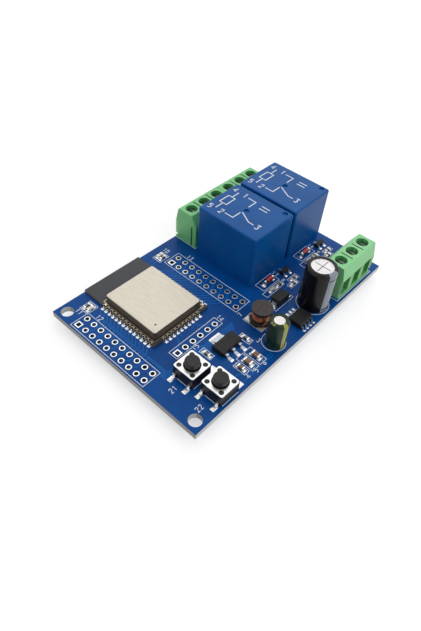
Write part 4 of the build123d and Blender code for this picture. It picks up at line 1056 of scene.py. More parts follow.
@dataclass
class LeadSolder:
    """Cones of solder round the tails of leads and pins on the underside."""

    relay_cone: Cone = Cone(1.25, 0.5, 1.15)
    terminal_cone: Cone = Cone(1.35, 0.52, 1.25)
    capacitor_cone: Cone = Cone(0.85, 0.32, 0.9)
    thickness: float = 0.03
    relay_tails: tuple[Point, ...] = ((-0.3, -6.0), (-0.3, 6.0), (1.7, 0.0), (-12.5, 6.0),
                                      (-12.5, -6.0))
    output_tail_x: float = -18.47
    supply_tail_x: float = 17.57
    capacitor_tails: tuple[Point, ...] = ((19.0, 9.95), (19.0, 13.45), (20.3, -6.7),
                                          (20.3, -4.7))

    def profile(self, cone: Cone) -> Route:
        """A hollow side, from the narrow end up to the pad: the radius grows as s^2.2."""
        share = np.linspace(0, 1, 6)
        radius = cone.tip + (cone.pad * 0.94 - cone.tip) * share ** 2.2
        foot = BOARD_UNDERSIDE - self.thickness
        return [*zip(radius, foot - cone.reach * (1 - share)), (cone.pad, foot),
                (cone.pad, BOARD_UNDERSIDE + EMBED)]

    def build(self) -> None:
        """Adds the cones, widest at the terminals."""
        relays = [(x, relay_y + y) for relay_y in RELAY_YS for x, y in self.relay_tails]
        terminals = [(self.output_tail_x, y) for y in OUTPUT_YS]
        terminals += [(self.supply_tail_x, y) for y in SUPPLY_YS]
        sheaf = Sheaf()
        for cone, tails, segments in ((self.relay_cone, relays, 24),
                                      (self.terminal_cone, terminals, 24),
                                      (self.capacitor_cone, self.capacitor_tails, 20)):
            sheaf.turned(self.profile(cone), tails, segments=segments)
        sheaf.piece("tail_solder", Palette.solder, "tinned_copper", smooth=True)


@dataclass(frozen=True)
class LeadPad:
    """A pad under one lead or chip end, with its solder.

    Attributes:
        x: X of the pad's middle.
        y: Y of the pad's middle.
        size_x: the pad's size along X.
        size_y: the pad's size along Y.
        rise: height of its solder.
    """

    x: float
    y: float
    size_x: float
    size_y: float
    rise: float = 0.14


@dataclass(frozen=True)
class SmallChip:
    """A chip with two metal ends.

    Attributes:
        x: X of its middle.
        y: Y of its middle.
        lie: the direction in which it lies.
        length: its length.
        width: its width.
        height: its height above the board.
        label: plain figures on its top, or nothing.
    """

    x: float
    y: float
    lie: Axis
    length: float = 1.6
    width: float = 0.8
    height: float = 0.45
    label: str = ""

    def oriented(self, along: float, across: float) -> Point:
        """A size or an offset along and across the chip, as X and Y."""
        return (along, across) if self.lie is Axis.X else (across, along)

    def ends(self, offset: float) -> Route:
        """Two places at an offset from the middle, towards the two ends."""
        steps = [self.oriented(side * offset, 0.0) for side in SIDES]
        return [(self.x + x, self.y + y) for x, y in steps]


def small_chips() -> list[SmallChip]:
    """Every two-ended chip on the board, in the places of their CAD solids."""
    found = []
    for y in RELAY_YS:
        found += [SmallChip(9.0, y - 1.25, Axis.Y, label="102"),
                  SmallChip(10.1, y + 3.5, Axis.Y, label="103"),
                  SmallChip(11.35, y + 1.8, Axis.Y, label="102"),
                  SmallChip(9.0, y - 4.1, Axis.Y, height=0.6)]
    found += [SmallChip(11.35, -19.8, Axis.X, label="103"),
              SmallChip(14.6, -9.7, Axis.X, label="472"),
              SmallChip(-19.6, -29.75, Axis.Y, label="102"),
              SmallChip(-19.7, -4.1, Axis.Y, label="102"),
              SmallChip(-18.3, -29.75, Axis.Y, height=0.6),
              SmallChip(-20.8, -4.1, Axis.Y, height=0.6),
              SmallChip(19.55, -17.3, Axis.X, height=0.8),
              SmallChip(19.65, -14.9, Axis.X, 2.0, 1.25, 0.85),
              SmallChip(19.7, -12.1, Axis.X, 2.0, 1.25, 0.85)]
    return found


@dataclass
class SurfaceMount:
    """End caps, pads and solder of everything that is soldered to the board's top."""

    cap_length: float = 0.3
    cap_wrap: float = 0.02
    cap_chamfer: float = 0.05
    pad_length: float = 0.95
    pad_margin: float = 0.16
    pad_offset: float = 0.1
    pad_chamfer: float = 0.08
    pad_thickness: float = 0.03
    solder_share: float = 0.6
    mound_share: float = 0.48

    def caps(self) -> None:
        """Adds the metal ends of the two-ended chips."""
        sheaf = Sheaf()
        for chip in small_chips():
            size = chip.oriented(self.cap_length, chip.width + 2 * self.cap_wrap)
            ends = chip.ends((chip.length - self.cap_length) / 2 + self.cap_wrap)
            sheaf.boxes([(*end, *size) for end in ends],
                        layer(BOARD_TOP, chip.height + self.cap_wrap), self.cap_chamfer)
        sheaf.piece("chip_end_caps", Palette.tin, "tinned_copper")

    def chip_pads(self) -> list[LeadPad]:
        """The pads under the ends of the two-ended chips."""
        return [LeadPad(*end, *chip.oriented(self.pad_length, chip.width + self.pad_margin),
                        chip.height * self.solder_share)
                for chip in small_chips() for end in chip.ends(chip.length / 2 + self.pad_offset)]

    def lead_pads(self) -> list[LeadPad]:
        """The pads under the bent leads of chips and buttons."""
        found = [LeadPad(16.35, y, 1.3, 0.95, 0.1) for y in (-12.45, -14.75, -17.05)]
        found.append(LeadPad(9.75, -14.75, 1.9, 3.5, 0.12))
        for y in (2.4, 3.66, 4.93, 6.2):
            found += [LeadPad(17.2, y, 1.1, 0.7), LeadPad(23.1, y, 0.75, 0.7)]
        found += [LeadPad(12.65, 3.45, 2.0, 1.3, 0.4), LeadPad(12.65, 8.75, 2.0, 1.3, 0.4)]
        for relay_y, diode_y in zip(RELAY_YS, DIODE_YS):
            middle = relay_y + 3.75
            found.append(LeadPad(5.65, middle, 0.95, 0.8))
            found += [LeadPad(8.15, middle + side * 0.95, 0.95, 0.8) for side in SIDES]
            found += [LeadPad(6.25, diode_y + side * 1.85, 1.5, 1.0, 0.5) for side in SIDES]
        for x, y in BUTTONS:
            found += [LeadPad(x + side * 2.25, y + end * 4.2, 1.1, 1.7, 0.3)
                      for side in SIDES for end in SIDES]
        return found

    def build(self) -> None:
        """Adds the pads and, on each of them, a low mound of solder."""
        self.caps()
        pads, mounds = Sheaf(), Sheaf()
        levels = layer(BOARD_TOP, self.pad_thickness)
        for pad in self.chip_pads() + self.lead_pads():
            pads.boxes([(pad.x, pad.y, pad.size_x, pad.size_y)], levels, self.pad_chamfer)
            half = (pad.size_x * self.mound_share, pad.size_y * self.mound_share)
            profile = mound(levels[1], pad.rise, narrow=0.25, steps=5, power=1.4)
            mounds.turned(profile, [(pad.x, pad.y)], half, squareness=5, segments=16)
        pads.piece("surface_pads", Palette.pad_plating, "tinned_copper")
        mounds.piece("surface_solder", Palette.solder, "tinned_copper", smooth=True)


@dataclass
class RadioModule:
    """The radio module's plated edges, aerial and outline."""

    end_x: float = 1.65
    front_y: float = -27.1
    back_y: float = -9.1
    side_count: int = 14
    side_last_x: float = 0.25
    end_count: int = 10
    notch_pitch: float = 1.27
    notch_radius: float = 0.3
    pad_width: float = 0.8
    pad_inner: float = 0.64
    pad_outer: float = 0.9
    pad_chamfer: float = 0.06
    plating: float = 0.03
    ear_width: float = 0.12
    ear_shift: float = 0.35
    solder_rise: float = 0.72
    solder_half: Point = (0.52, 0.33)
    solder_shift: float = 0.2
    aerial_xs: Point = (-22.95, -18.5)
    aerial_start: float = -25.1
    aerial_rows: int = 10
    aerial_pitch: float = 1.5
    aerial_width: float = 0.5
    aerial_thickness: float = 0.012
    shield_line: Box = (-17.45, 0.85, -26.25, -9.95)
    line_width: float = 0.1
    line_thickness: float = 0.018
    dot: Point = (-1.5, -23.8)
    dot_profile: tuple[Point, ...] = ((0.26, -EMBED), (0.26, 0.008), (0.2, 0.012))

    def side_xs(self) -> list[float]:
        """X of the notches along each long side."""
        return [self.side_last_x - self.notch_pitch * step for step in range(self.side_count)]

    def end_ys(self) -> list[float]:
        """Y of the notches on the end."""
        middle = (self.front_y + self.back_y) / 2
        return [middle + self.notch_pitch * (step - (self.end_count - 1) / 2)
                for step in range(self.end_count)]

    def edge_places(self) -> list[Box]:
        """Each notch as (x, y, outward x, outward y)."""
        sides = [(x, y, 0, way) for y, way in ((self.front_y, -1), (self.back_y, 1))
                 for x in self.side_xs()]
        return sides + [(self.end_x, y, 1, 0) for y in self.end_ys()]

    def oriented(self, place: Box, inner: float, outer: float, width: float) -> Box:
        """A box from inner to outer across the edge, as (x, y, size x, size y)."""
        x, y, out_x, out_y = place
        middle, length = (inner + outer) / 2, outer - inner
        size = (length, width) if out_x else (width, length)
        return (x + out_x * middle, y + out_y * middle, *size)

    def ears(self) -> list[Box]:
        """The plating on both sides of each notch."""
        found = []
        for place in self.edge_places():
            for side in SIDES:
                x, y, *size = self.oriented(place, -self.notch_radius, -0.01, self.ear_width)
                shift = side * self.ear_shift
                found.append((x, y + shift, *size) if place[2] else (x + shift, y, *size))
        return found

    def build(self) -> None:
        """Adds the plating on the radio board, its solder, the aerial and the frame line."""
        plating, pads, solder = Sheaf(), Sheaf(), Sheaf()
        places = self.edge_places()
        plating.boxes([self.oriented(place, -self.pad_inner, -self.notch_radius,
                                              self.pad_width * 0.8) for place in places],
                      layer(MODULE_TOP, self.plating), self.pad_chamfer)
        plating.boxes(self.ears(), layer(MODULE_TOP, self.plating))
        plating.piece("radio_edge_plating", Palette.gold_plating, "tinned_copper")
        pads.boxes([self.oriented(place, -self.solder_shift, self.pad_outer, self.pad_width)
                          for place in places], layer(BOARD_TOP, self.plating), self.pad_chamfer)
        pads.piece("radio_pads", Palette.pad_plating, "tinned_copper")
        profile = mound(BOARD_TOP + self.plating, self.solder_rise, narrow=0.3, steps=6,
                        power=1.3)
        for x, y, out_x, out_y in places:
            half = self.solder_half if out_x else self.solder_half[::-1]
            middle = (x + out_x * self.solder_shift, y + out_y * self.solder_shift)
            solder.turned(profile, [middle], half, squareness=3, segments=14)
        solder.piece("radio_solder", Palette.solder, "tinned_copper", smooth=True)
        self.aerial()
        self.outline()

    def aerial(self) -> None:
        """Adds the folded aerial line under the radio board's lacquer."""
        sheaf, path = Sheaf(), []
        for row in range(self.aerial_rows):
            xs = self.aerial_xs[::-1] if row % 2 else self.aerial_xs
            path += [(x, self.aerial_start + row * self.aerial_pitch) for x in xs]
        sheaf.strip(path, self.aerial_width, layer(MODULE_TOP, self.aerial_thickness))
        sheaf.piece("radio_aerial", Palette.radio_trace, "tinned_copper")

    def outline(self) -> None:
        """Adds the pale line round the shield and the dot at its first corner."""
        line, dot = Sheaf(), Sheaf()
        line.strip(rectangle(*self.shield_line), self.line_width,
                   layer(MODULE_TOP, self.line_thickness), closed=True)
        line.piece("radio_outline", Palette.gold_plating, "module_laminate")
        dot.turned([(r, SHIELD_TOP + z) for r, z in self.dot_profile], [self.dot])
        dot.piece("shield_mark", Palette.mark_and_score_shade, "tinned_steel")


@dataclass
class ChokeWinding:
    """The inductor's copper winding, fuller than the solid that it stands for."""

    middle: Point = CHOKE
    radius: float = 2.12
    belly: float = 0.16
    wire: float = 0.42
    turns: float = 5.25
    low: float = 4.89
    high: float = 7.18
    foot: float = 4.0
    bend: float = 0.46
    steps_per_turn: int = 40
    section: int = 10

    def run(self, start: np.ndarray, end: np.ndarray, steps: int) -> np.ndarray:
        """Evenly spaced points of a straight run, without its last one."""
        share = np.arange(steps)[:, None] / steps
        return start + (end - start) * share

    def end_run(self, corner: np.ndarray, way: np.ndarray, reach: float) -> np.ndarray:
        """A wire end: up over a corner of the base, a quarter circle, a straight run.

        Args:
            corner: where the end would turn without its quarter circle.
            way: the direction from the corner to the hub.
            reach: distance from the corner to where the turns begin.
        """
        foot = np.array([corner[0], corner[1], self.foot])
        rise = corner - np.array([0, 0, self.bend])
        angle = np.linspace(0, np.pi / 2, 8)[:-1, None]
        arc = rise + way * self.bend * (1 - np.cos(angle))
        arc = arc + np.array([0, 0, self.bend]) * np.sin(angle)
        straight = self.run(corner + way * self.bend, corner + way * reach, 6)
        return np.concatenate([self.run(foot, rise, 8), arc, straight])

    def path(self) -> np.ndarray:
        """The wire's middle line: radius r + b sin(pi s) and even climb over the share s."""
        share = np.linspace(0, 1, int(self.turns * self.steps_per_turn))
        angle = 2 * np.pi * self.turns * share
        radius = self.radius + self.belly * np.sin(np.pi * share)
        coil = np.stack([radius * np.cos(angle), radius * np.sin(angle),
                         self.low + (self.high - self.low) * share], axis=1)
        first = self.end_run(coil[0] + np.array([0, -self.radius, 0]), np.array([0, 1.0, 0]),
                             self.radius)
        last = self.end_run(coil[-1] + np.array([-self.radius, 0, 0]), np.array([1.0, 0, 0]),
                            self.radius)
        return np.concatenate([first, coil, last[::-1]])

    def build(self) -> None:
        """Carries a circle along the path, square to it, and closes both ends."""
        line = self.path()
        way = np.gradient(line, axis=0)
        way /= np.linalg.norm(way, axis=1)[:, None]
        outward = np.column_stack([line[:, :2], np.zeros(len(line))])
        outward -= way * (outward * way).sum(axis=1)[:, None]
        outward /= np.linalg.norm(outward, axis=1)[:, None]
        beside = np.cross(way, outward)
        angle = np.arange(self.section) * 2 * np.pi / self.section
        ring = (np.cos(angle)[None, :, None] * outward[:, None, :]
                + np.sin(angle)[None, :, None] * beside[:, None, :]) * self.wire / 2
        points = (line[:, None, :] + ring).reshape(-1, 3) + np.array([*self.middle, 0])
        sheaf = Sheaf()
        end = np.arange(self.section)[None]
        sheaf.add(points, grid_faces(len(line), self.section, False, True), end[:, ::-1],
                  end + self.section * (len(line) - 1))
        made = sheaf.piece("choke_winding", Palette.winding, "winding_copper", smooth=True)
        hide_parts("inductor_winding")


@dataclass
class CanTop:
    """Painted shade in the large can's vent score, as two dark lines, and the broad rim on the small
    can.

    Attributes:
        bands: bottom and top heights of the two painted-shade lines that cross in the score.
        length: length of each line.
        width: width of each line.
        small_top: height of the small can's top.
        rim: the rim's section, as (radius, height over that top).
    """

    bands: tuple[Point, Point] = ((15.86, 15.9), (15.86, 15.896))
    length: float = 4.4
    width: float = 0.13
    small_top: float = 11.4
    rim: tuple[Point, ...] = ((1.34, -EMBED), (1.86, -EMBED), (1.86, 0.12), (1.4, 0.1),
                              (1.34, 0.05))

    def build(self) -> None:
        """Adds two crossing bands of painted shade in the bottom of the score, and the rim."""
        score, ring = Sheaf(), Sheaf()
        (x, y), half = LARGE_CAN, self.length / 2
        for (dx, dy), levels in zip(((half, 0), (0, half)), self.bands):
            score.strip([(x - dx, y - dy), (x + dx, y + dy)], self.width, levels)
        score.piece("vent_score_shade", Palette.mark_and_score_shade, "can_aluminium")
        ring.turned([(r, self.small_top + z) for r, z in self.rim], [SMALL_CAN], segments=48,
                    closed=True)
        ring.piece("small_sleeve_rim", Palette.small_sleeve, "green_sleeve", smooth=True)


@dataclass
class JoinerSlot:
    """Painted shade of a joiner slot: a dark band on the end face of the first output block."""

    x: float = -17.95
    face_y: float = 5.25
    width: float = 0.5
    depth: float = 0.02
    levels: Point = (3.66, 10.0)

    def build(self) -> None:
        """Adds one thin upright band of painted shade on the end face."""
        sheaf = Sheaf()
        sheaf.boxes([(self.x, self.face_y, self.width, self.depth)], self.levels)
        sheaf.piece("joiner_slot_shade", Palette.painted_slot_shade, "terminal_green")


@dataclass
class Traces:
    """Copper lines under the board's lacquer.

    Attributes:
        width: width of a thin line on the top.
        power_width: width of the wide lines on the underside.
        thickness: how far a thin line stands out.
        bundle_pitch: from one line of the bundle beside the radio module to the next.
        reach: from the radio module's edge to where its lines begin.
        leaves: the Y at which the lines to the far and to the near header turn off.
        bend_x: the X at which the lines to the single row of holes turn off.
        bend_step: how much later each line turns off than the one nearer the middle.
        bend_room: least length of their last straight run.
        holes: the header holes that the lines go to.
        radio: the radio module that they start from.
    """

    width: float = 0.2
    power_width: float = 2.2
    thickness: float = 0.014
    bundle_pitch: float = 0.42
    reach: float = 0.8
    leaves: Point = (-7.9, -28.2)
    bend_x: float = 3.0
    bend_step: float = 0.28
    bend_room: float = 0.9
    holes: PlatedHoles = field(default_factory=PlatedHoles)
    radio: RadioModule = field(default_factory=RadioModule)

    def jog(self, start: Point, target: Point, leave: float) -> Route:
        """A route along Y with one run slanted at 45 degrees, which begins at Y = leave."""
        shift = abs(target[0] - start[0])
        sign = 1 if target[1] > start[1] else -1
        if shift < 0.02:
            return [start, target]
        return [start, (start[0], leave), (target[0], leave + sign * shift), target]

    def fan(self, start_y: float, leave: float, near_y: float, far_y: float,
            first_x: float) -> list[Route]:
        """Routes from the notches of one side to the two rows of a header.

        Even routes end at a hole of the near row, odd ones pass between two holes and end
        beside one of the far row, so that no two of them cross.
        """
        routes = []
        sign = 1 if far_y > near_y else -1
        for step, x in enumerate(reversed(self.radio.side_xs())):
            hole_x = first_x + (1 + step // 2) * PITCH
            between = hole_x + PITCH / 2
            if step % 2 == 0:
                routes.append(self.jog((x, start_y), (hole_x, near_y), leave))
            else:
                route = self.jog((x, start_y), (between, near_y), leave)
                routes.append(route + [(between, far_y - sign * PITCH / 2), (hole_x, far_y)])
        return routes

    def end_routes(self) -> list[Route]:
        """Routes from the notches of the radio board's end to the single row of holes."""
        routes = []
        end_x, (single_x, first_y) = self.radio.end_x, self.holes.single_start
        for step, y in enumerate(self.radio.end_ys()[2:8]):
            target = first_y + step * PITCH
            bend = self.bend_x + self.bend_step * abs(step - 2.5)
            sign = 1 if target > y else -1
            length = min(abs(target - y), single_x - bend - self.bend_room)
            slant = (bend + length, y + sign * length)
            routes.append([(end_x + self.reach, y), (bend, y), slant, (slant[0], target),
                           (single_x, target)])
        return routes

    def top_routes(self) -> list[Route]:
        """All thin lines on the board's top."""
        (near_x, near_y), (far_x, far_y) = self.holes.near_start, self.holes.far_start
        back, front = self.radio.back_y + self.reach, self.radio.front_y - self.reach
        routes = self.fan(back, self.leaves[0], far_y, far_y + PITCH, far_x)
        routes += self.fan(front, self.leaves[1], near_y + PITCH, near_y, near_x)
        routes += self.end_routes()
        for step in range(5):
            shift = self.bundle_pitch * step
            x, y = 8.55 + shift, -29.8 - shift
            routes.append([(x, y), (x, -19.2), (x + 0.5, -18.7), (x + 0.5, -8.2 - 0.3 * step)])
            routes.append([(8.4 + shift, y), (-14.0 if step < 2 else 7.9, y)])
        for y in RELAY_YS:
            routes += [[(8.1, y + 2.8), (9.0, y + 2.0), (9.0, y - 0.4)],
                       [(6.25, y - 4.5), (6.25, y - 5.6), (8.2, y - 7.2)],
                       [(10.1, y + 2.7), (10.1, y + 0.6), (11.0, y - 0.3), (11.0, y - 6.0)],
                       [(5.2, y + 3.75), (4.6, y + 3.2), (4.6, y - 5.0)]]
        routes += [[(20.2, -20.5), (20.2, -19.0), (21.6, -17.6), (21.6, -8.9)],
                   [(22.4, -20.4), (22.4, -9.0)],
                   [(13.0, -18.3), (13.0, -20.9), (14.4, -22.0)],
                   [(-19.6, -28.6), (-19.6, -27.6)], [(-18.3, -28.6), (-18.3, -27.6)],
                   [(-19.7, -5.2), (-19.7, -8.4)], [(-20.8, -5.2), (-20.8, -8.4)]]
        return routes

    def power_routes(self) -> list[Route]:
        """The wide lines on the underside, from the relays' contacts to the terminals."""
        routes = []
        for y, terminal in zip(RELAY_YS, (OUTPUT_YS[1], OUTPUT_YS[4])):
            routes += [[(-12.5, y + 6 * side), (-14.8, y + 6 * side),
                        (-16.2, terminal + 5 * side), (-18.4, terminal + 5 * side)]
                       for side in (1, -1)]
            routes.append([(1.7, y), (-10.0, y), (-14.6, y), (-15.6, terminal),
                           (-18.4, terminal)])
        routes += [[(17.5, 29.8), (14.4, 29.8), (12.6, 27.9), (12.6, 12.0), (18.2, 9.9)],
                   [(17.5, 24.8), (21.4, 21.4), (21.4, 15.0), (19.4, 13.6)],
                   [(20.3, -6.7), (20.3, -12.0), (15.0, -17.0)]]
        return routes

    def under_routes(self) -> list[Route]:
        """The thin lines on the underside, between the two long headers."""
        holes, routes = self.holes, []
        for column in range(holes.columns):
            x, target = [start[0] + column * PITCH for start in (holes.far_start, holes.near_start)]
            turn = -14.0 - 0.3 * column
            routes.append([(x, holes.far_start[1]), (x, turn), (target, turn - 0.4),
                           (target, -32.3)])
        x, first_y = holes.single_start
        for step in range(holes.single_count):
            y, past = first_y + step * PITCH, 9.9 + 0.5 * step
            routes.append([(x, y), (past - 1.5, y), (past, y - 1.5), (past, -30.5),
                           (8.0, -32.4 - 0.4 * step)])
        return routes

    def build(self) -> None:
        """Adds the lines on both faces as low bands."""
        top, under = Sheaf(), Sheaf()
        for route in self.top_routes():
            top.strip(route, self.width, layer(BOARD_TOP, self.thickness))
        for routes, width, depth in (
                (self.power_routes(), self.power_width, self.thickness * 1.6),
                (self.under_routes(), self.width * 1.4, self.thickness)):
            for route in routes:
                under.strip(route, width, (BOARD_UNDERSIDE - depth, BOARD_UNDERSIDE + EMBED))
        top.piece("board_lines", Palette.trace, "board_laminate")
        under.piece("board_under_lines", Palette.trace, "board_laminate")


@dataclass
class BoardPrinting:
    """The white outlines and plain figures printed on the board's top."""

    line: float = 0.15
    thickness: float = 0.022
    figure_height: float = 1.2
    frames: tuple[Box, ...] = (
        (-17.65, 7.65, -36.28, -31.03), (-18.05, 7.45, -4.98, 0.42), (4.85, 7.55, -25.68, -10.18),
        (10.25, 16.05, -5.5, 0.5), (4.75, 7.75, 5.9, 12.3), (4.75, 7.75, 22.6, 28.8),
        (9.55, 12.95, -20.5, -18.9), (12.95, 16.35, -10.6, -9.0), (17.85, 21.35, -18.1, -16.5),
        (17.05, 22.0, -16.0, -13.8), (17.05, 22.0, -13.3, -11.0), (8.2, 9.8, 4.7, 11.9),
        (8.2, 9.8, 21.0, 28.2), (-20.4, -17.5, -31.4, -28.1), (-21.6, -18.9, -5.9, -2.5),
        (11.0, 14.3, 2.5, 9.7), (-23.8, -16.25, 5.08, 35.5), (15.3, 23.3, 16.7, 32.9))
    chip_frames: tuple[Box, ...] = (
        (10.6, 12.1, 11.9, 15.4), (10.6, 12.1, 28.2, 31.7), (9.35, 10.85, 13.6, 17.1),
        (9.35, 10.85, 29.9, 33.4))
    rings: tuple[tuple[Point, float], ...] = (((20.0, -5.75), 2.95), (LARGE_CAN, 4.25))
    button_corner: Point = (3.15, 3.2)
    button_half: Point = (1.5, 2.6)
    value_size: Point = (0.72, 0.34)
    labels: tuple[tuple[str, float, float, Axis], ...] = (
        ("21", 13.4, -33.0, Axis.Y), ("22", 20.7, -32.4, Axis.Y),
        ("12", -15.3, -30.7, Axis.X), ("11", -20.4, -32.9, Axis.X),
        ("13", -15.4, 0.75, Axis.X), ("10", -22.0, -1.9, Axis.X),
        ("14", 5.2, -9.85, Axis.X), ("3", 16.9, -8.6, Axis.X),
        ("4", 22.7, -18.1, Axis.Y), ("5", 22.9, -15.5, Axis.Y),
        ("6", 22.9, -12.6, Axis.Y), ("7", 9.3, -5.2, Axis.Y),
        ("8", 8.4, 12.2, Axis.X), ("9", 8.4, 28.5, Axis.X),
        ("15", 8.6, -21.0, Axis.Y), ("16", 11.2, 0.9, Axis.X),
        ("17", 4.85, 12.6, Axis.X), ("18", 4.85, 29.1, Axis.X))

    def build(self) -> None:
        """Adds the frames, the rings round the two cans and the figures."""
        levels = layer(BOARD_TOP, self.thickness)
        sheaf = Sheaf()
        for frames, width in ((self.frames, self.line), (self.chip_frames, self.line * 0.8)):
            for frame in frames:
                sheaf.strip(rectangle(*frame), width, levels, closed=True)
        for middle, radius in self.rings:
            section = rectangle(radius - self.line / 2, radius + self.line / 2, *levels)
            sheaf.turned(section, [middle], segments=64, closed=True)
        (reach_x, reach_y), (half_x, half_y) = self.button_corner, self.button_half
        for x, y in BUTTONS:
            for side in SIDES:
                beside, past = x + side * reach_x, y + side * reach_y
                sheaf.strip([(beside, y - half_y), (beside, y + half_y)], self.line, levels)
                sheaf.strip([(x - half_x, past), (x + half_x, past)], self.line, levels)
        for text, x, y, axis in self.labels:
            sheaf.figures(text, (x, y), self.figure_height, axis, levels)
        sheaf.piece("board_printing", Palette.print_white, "board_laminate")
        self.tiny_labels()

    def tiny_labels(self) -> None:
        """Adds the values on the tops of the chip resistors, as plain figures."""
        sheaf = Sheaf()
        width, height = self.value_size
        for chip in small_chips():
            if chip.lie is Axis.X:
                place = (chip.x - width / 2, chip.y - height / 2)
            else:
                place = (chip.x + height / 2, chip.y - width / 2)
            top = BOARD_TOP + chip.height
            sheaf.figures(chip.label, place, height, chip.lie, (top - 0.004, top + 0.006))
        sheaf.piece("resistor_figures", Palette.print_white, "chip_black")


@dataclass
class RelayPrinting:
    """A plain contact diagram on each relay's roof, as places from the relay's middle."""

    line: float = 0.3
    thickness: float = 0.012
    figure_height: float = 1.7
    coil_box: Box = (-7.5, -5.3, -1.8, 1.8)
    lines: tuple[tuple[Point, ...], ...] = (
        ((-6.4, -4.6), (-6.4, -1.8)), ((-6.4, 1.8), (-6.4, 4.6)),
        ((-3.2, 4.6), (-0.6, 4.6), (-0.6, 1.6)), ((-3.2, -4.6), (-0.6, -4.6), (-0.6, -1.6)),
        ((5.0, -3.2), (3.4, -3.2), (-0.3, -1.2)),
        ((1.6, 3.2), (4.2, 3.2)), ((1.6, 4.4), (4.2, 4.4)))
    labels: tuple[tuple[str, float, float], ...] = (
        ("1", -4.8, 4.0), ("2", -4.8, -5.6), ("3", 5.8, -4.0), ("4", -8.3, 4.2),
        ("5", -8.3, -5.8))

    def build(self) -> None:
        """Adds the coil's box, the contacts and the pins' figures in white."""
        levels = layer(RELAY_TOP, self.thickness)
        sheaf = Sheaf()
        for y in RELAY_YS:
            at = np.array([RELAY_X, y])
            for path in self.lines:
                sheaf.strip(np.array(path) + at, self.line, levels)
            sheaf.strip(np.array(rectangle(*self.coil_box)) + at, self.line, levels, closed=True)
            for text, x, offset in self.labels:
                sheaf.figures(text, (RELAY_X + x, y + offset), self.figure_height, Axis.X, levels)
        sheaf.piece("relay_diagrams", Palette.print_white, "relay_blue")


def posed(*axes_and_place: Sequence[float]) -> Matrix:
    """A placement from the directions of its three axes and its place."""
    frame = np.eye(4)
    frame[:3] = np.column_stack(axes_and_place)
    return Matrix(frame.tolist())


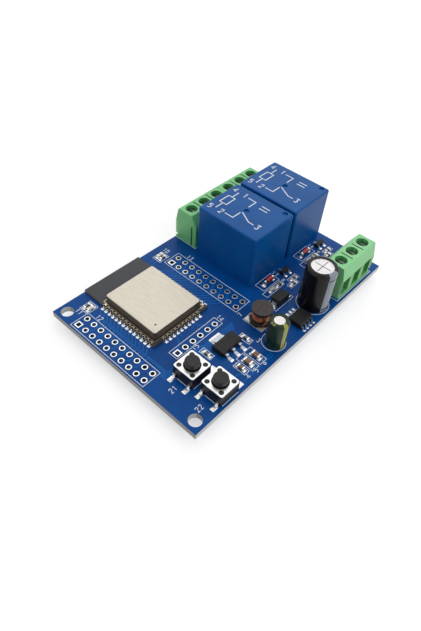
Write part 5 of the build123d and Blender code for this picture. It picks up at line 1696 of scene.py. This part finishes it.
@dataclass
class Surroundings:
    """The floor, the light and the camera; lengths here are in metres."""

    floor_half: float = 1.5
    floor_cells: int = 9
    floor_colour: Colour = (206, 206, 206)
    floor_second: Colour = (200, 200, 201)
    floor_glow: float = 0.56
    sky: float = 0.42
    focal_pixels: float = 522.042
    image_height: float = 631.0
    sensor: float = 36.0
    eye: tuple[float, float, float] = (0.058526, -0.077516, 0.098540)
    right: tuple[float, float, float] = (0.73416677, 0.67669997, 0.05546442)
    up: tuple[float, float, float] = (-0.52871895, 0.51854041, 0.67199115)
    back: tuple[float, float, float] = (0.42597585, -0.52267868, 0.73847924)

    def floor_material(self) -> bpy.types.Material:
        """Matt white that keeps the object's shadow; seen from below, it is see-through."""
        made = bpy.data.materials.new("floor_white")
        made.use_nodes = True
        sheet = Sheet(made.node_tree)
        shader = made.node_tree.nodes["Principled BSDF"]
        place = sheet.node("ShaderNodeTexCoord").outputs["Object"]
        tone = sheet.noise(place, scale=6.0, detail=3.0)
        colour = sheet.blend(tone, linear(self.floor_colour), linear(self.floor_second))
        sheet.feed(shader.inputs["Base Color"], colour)
        sheet.feed(shader.inputs["Roughness"], 0.8)
        rays = sheet.node("ShaderNodeLightPath").outputs
        seen = sheet.fold("MAXIMUM", [rays[f"Is {kind} Ray"]
                                      for kind in ("Camera", "Glossy", "Transmission")])
        glow = sheet.fed("ShaderNodeEmission", {"Strength": sheet.times(seen, self.floor_glow)})
        total = sheet.fed("ShaderNodeAddShader", {0: shader.outputs[0], 1: glow.outputs[0]})
        under = sheet.node("ShaderNodeNewGeometry").outputs["Backfacing"]
        clear = sheet.node("ShaderNodeBsdfTransparent")
        sides = sheet.fed("ShaderNodeMixShader", {0: under, 1: total.outputs[0],
                                                  2: clear.outputs[0]})
        sheet.feed(made.node_tree.nodes["Material Output"].inputs["Surface"], sides.outputs[0])
        return made

    def floor(self) -> None:
        """A wide flat floor under the solder tails, a grid of quads on the plane z = 0."""
        cells = self.floor_cells
        steps = np.linspace(-self.floor_half, self.floor_half, cells)
        x, y = np.meshgrid(steps, steps, indexing="ij")
        points = np.stack([x.ravel(), y.ravel(), np.zeros(x.size)], axis=1)
        mesh = bpy.data.meshes.new("floor")
        mesh.from_pydata(points, [], grid_faces(cells, cells, False, False).tolist())
        mesh.materials.append(self.floor_material())
        made = placed("floor", mesh)

    def world(self) -> None:
        """A plain sky: white where it is seen, softer where it lights."""
        world = bpy.data.worlds.new("studio")
        world.use_nodes = True
        bpy.context.scene.world = world
        sheet = Sheet(world.node_tree)
        rays = sheet.node("ShaderNodeLightPath").outputs
        glossy = sheet.times(rays["Is Glossy Ray"], 0.9)
        seen = sheet.math("MAXIMUM", rays["Is Camera Ray"], glossy)
        background = world.node_tree.nodes["Background"].inputs
        sheet.feed(background["Strength"], sheet.spread(seen, self.sky, 1.0))
        sheet.feed(background["Color"], (1, 1, 1, 1))

    def lamp(self, name: str, place: tuple[float, float, float], size: float,
             power: float) -> None:
        """A square soft lamp that looks at the board's middle."""
        data = bpy.data.lights.new(name, "AREA")
        data.size = size
        data.energy = power
        away = np.array(place) / np.linalg.norm(place)
        across = np.cross((0, 0, 1), away)
        across /= np.linalg.norm(across)
        placed(name, data).matrix_world = posed(across, np.cross(away, across), away, place)

    def camera(self) -> None:
        """The camera that was fitted to the photograph's header holes."""
        data = bpy.data.cameras.new("camera")
        data.sensor_fit = "VERTICAL"
        data.sensor_height = self.sensor
        data.lens = self.focal_pixels / self.image_height * self.sensor
        data.clip_start = 0.001
        data.clip_end = 10
        made = placed("camera", data)
        made.matrix_world = posed(self.right, self.up, self.back, self.eye)
        bpy.context.scene.camera = made

    def build(self) -> None:
        """Sets the floor, the sky, the lamps, the camera and the plain view transform."""
        self.floor()
        self.world()
        self.lamp("back_softbox", (-0.22, 0.30, 0.42), 0.9, 1.65)
        self.lamp("side_softbox", (0.42, 0.05, 0.36), 0.4, 0.8)
        self.lamp("front_softbox", (-0.15, -0.42, 0.34), 0.3, 0.1)
        self.camera()
        bpy.context.scene.view_settings.view_transform = "Standard"


def corners(box: tuple) -> list[list[float]]:
    """A box's two corners as plain lists."""
    return [[float(value) for value in corner] for corner in box]


def main() -> None:
    """Builds the dressed module and its surroundings."""
    logging.basicConfig(level=logging.INFO, format="%(name)s: %(message)s")
    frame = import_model()
    dress_nodes(frame["nodes"])
    for part in (PlatedHoles(), LeadSolder(), SurfaceMount(), RadioModule(), ChokeWinding(),
                 CanTop(), JoinerSlot(), Traces(), BoardPrinting(), RelayPrinting(), Surroundings()):
        part.build()
        log.info("built %s", type(part).__name__)


if __name__ == "__main__":
    main()
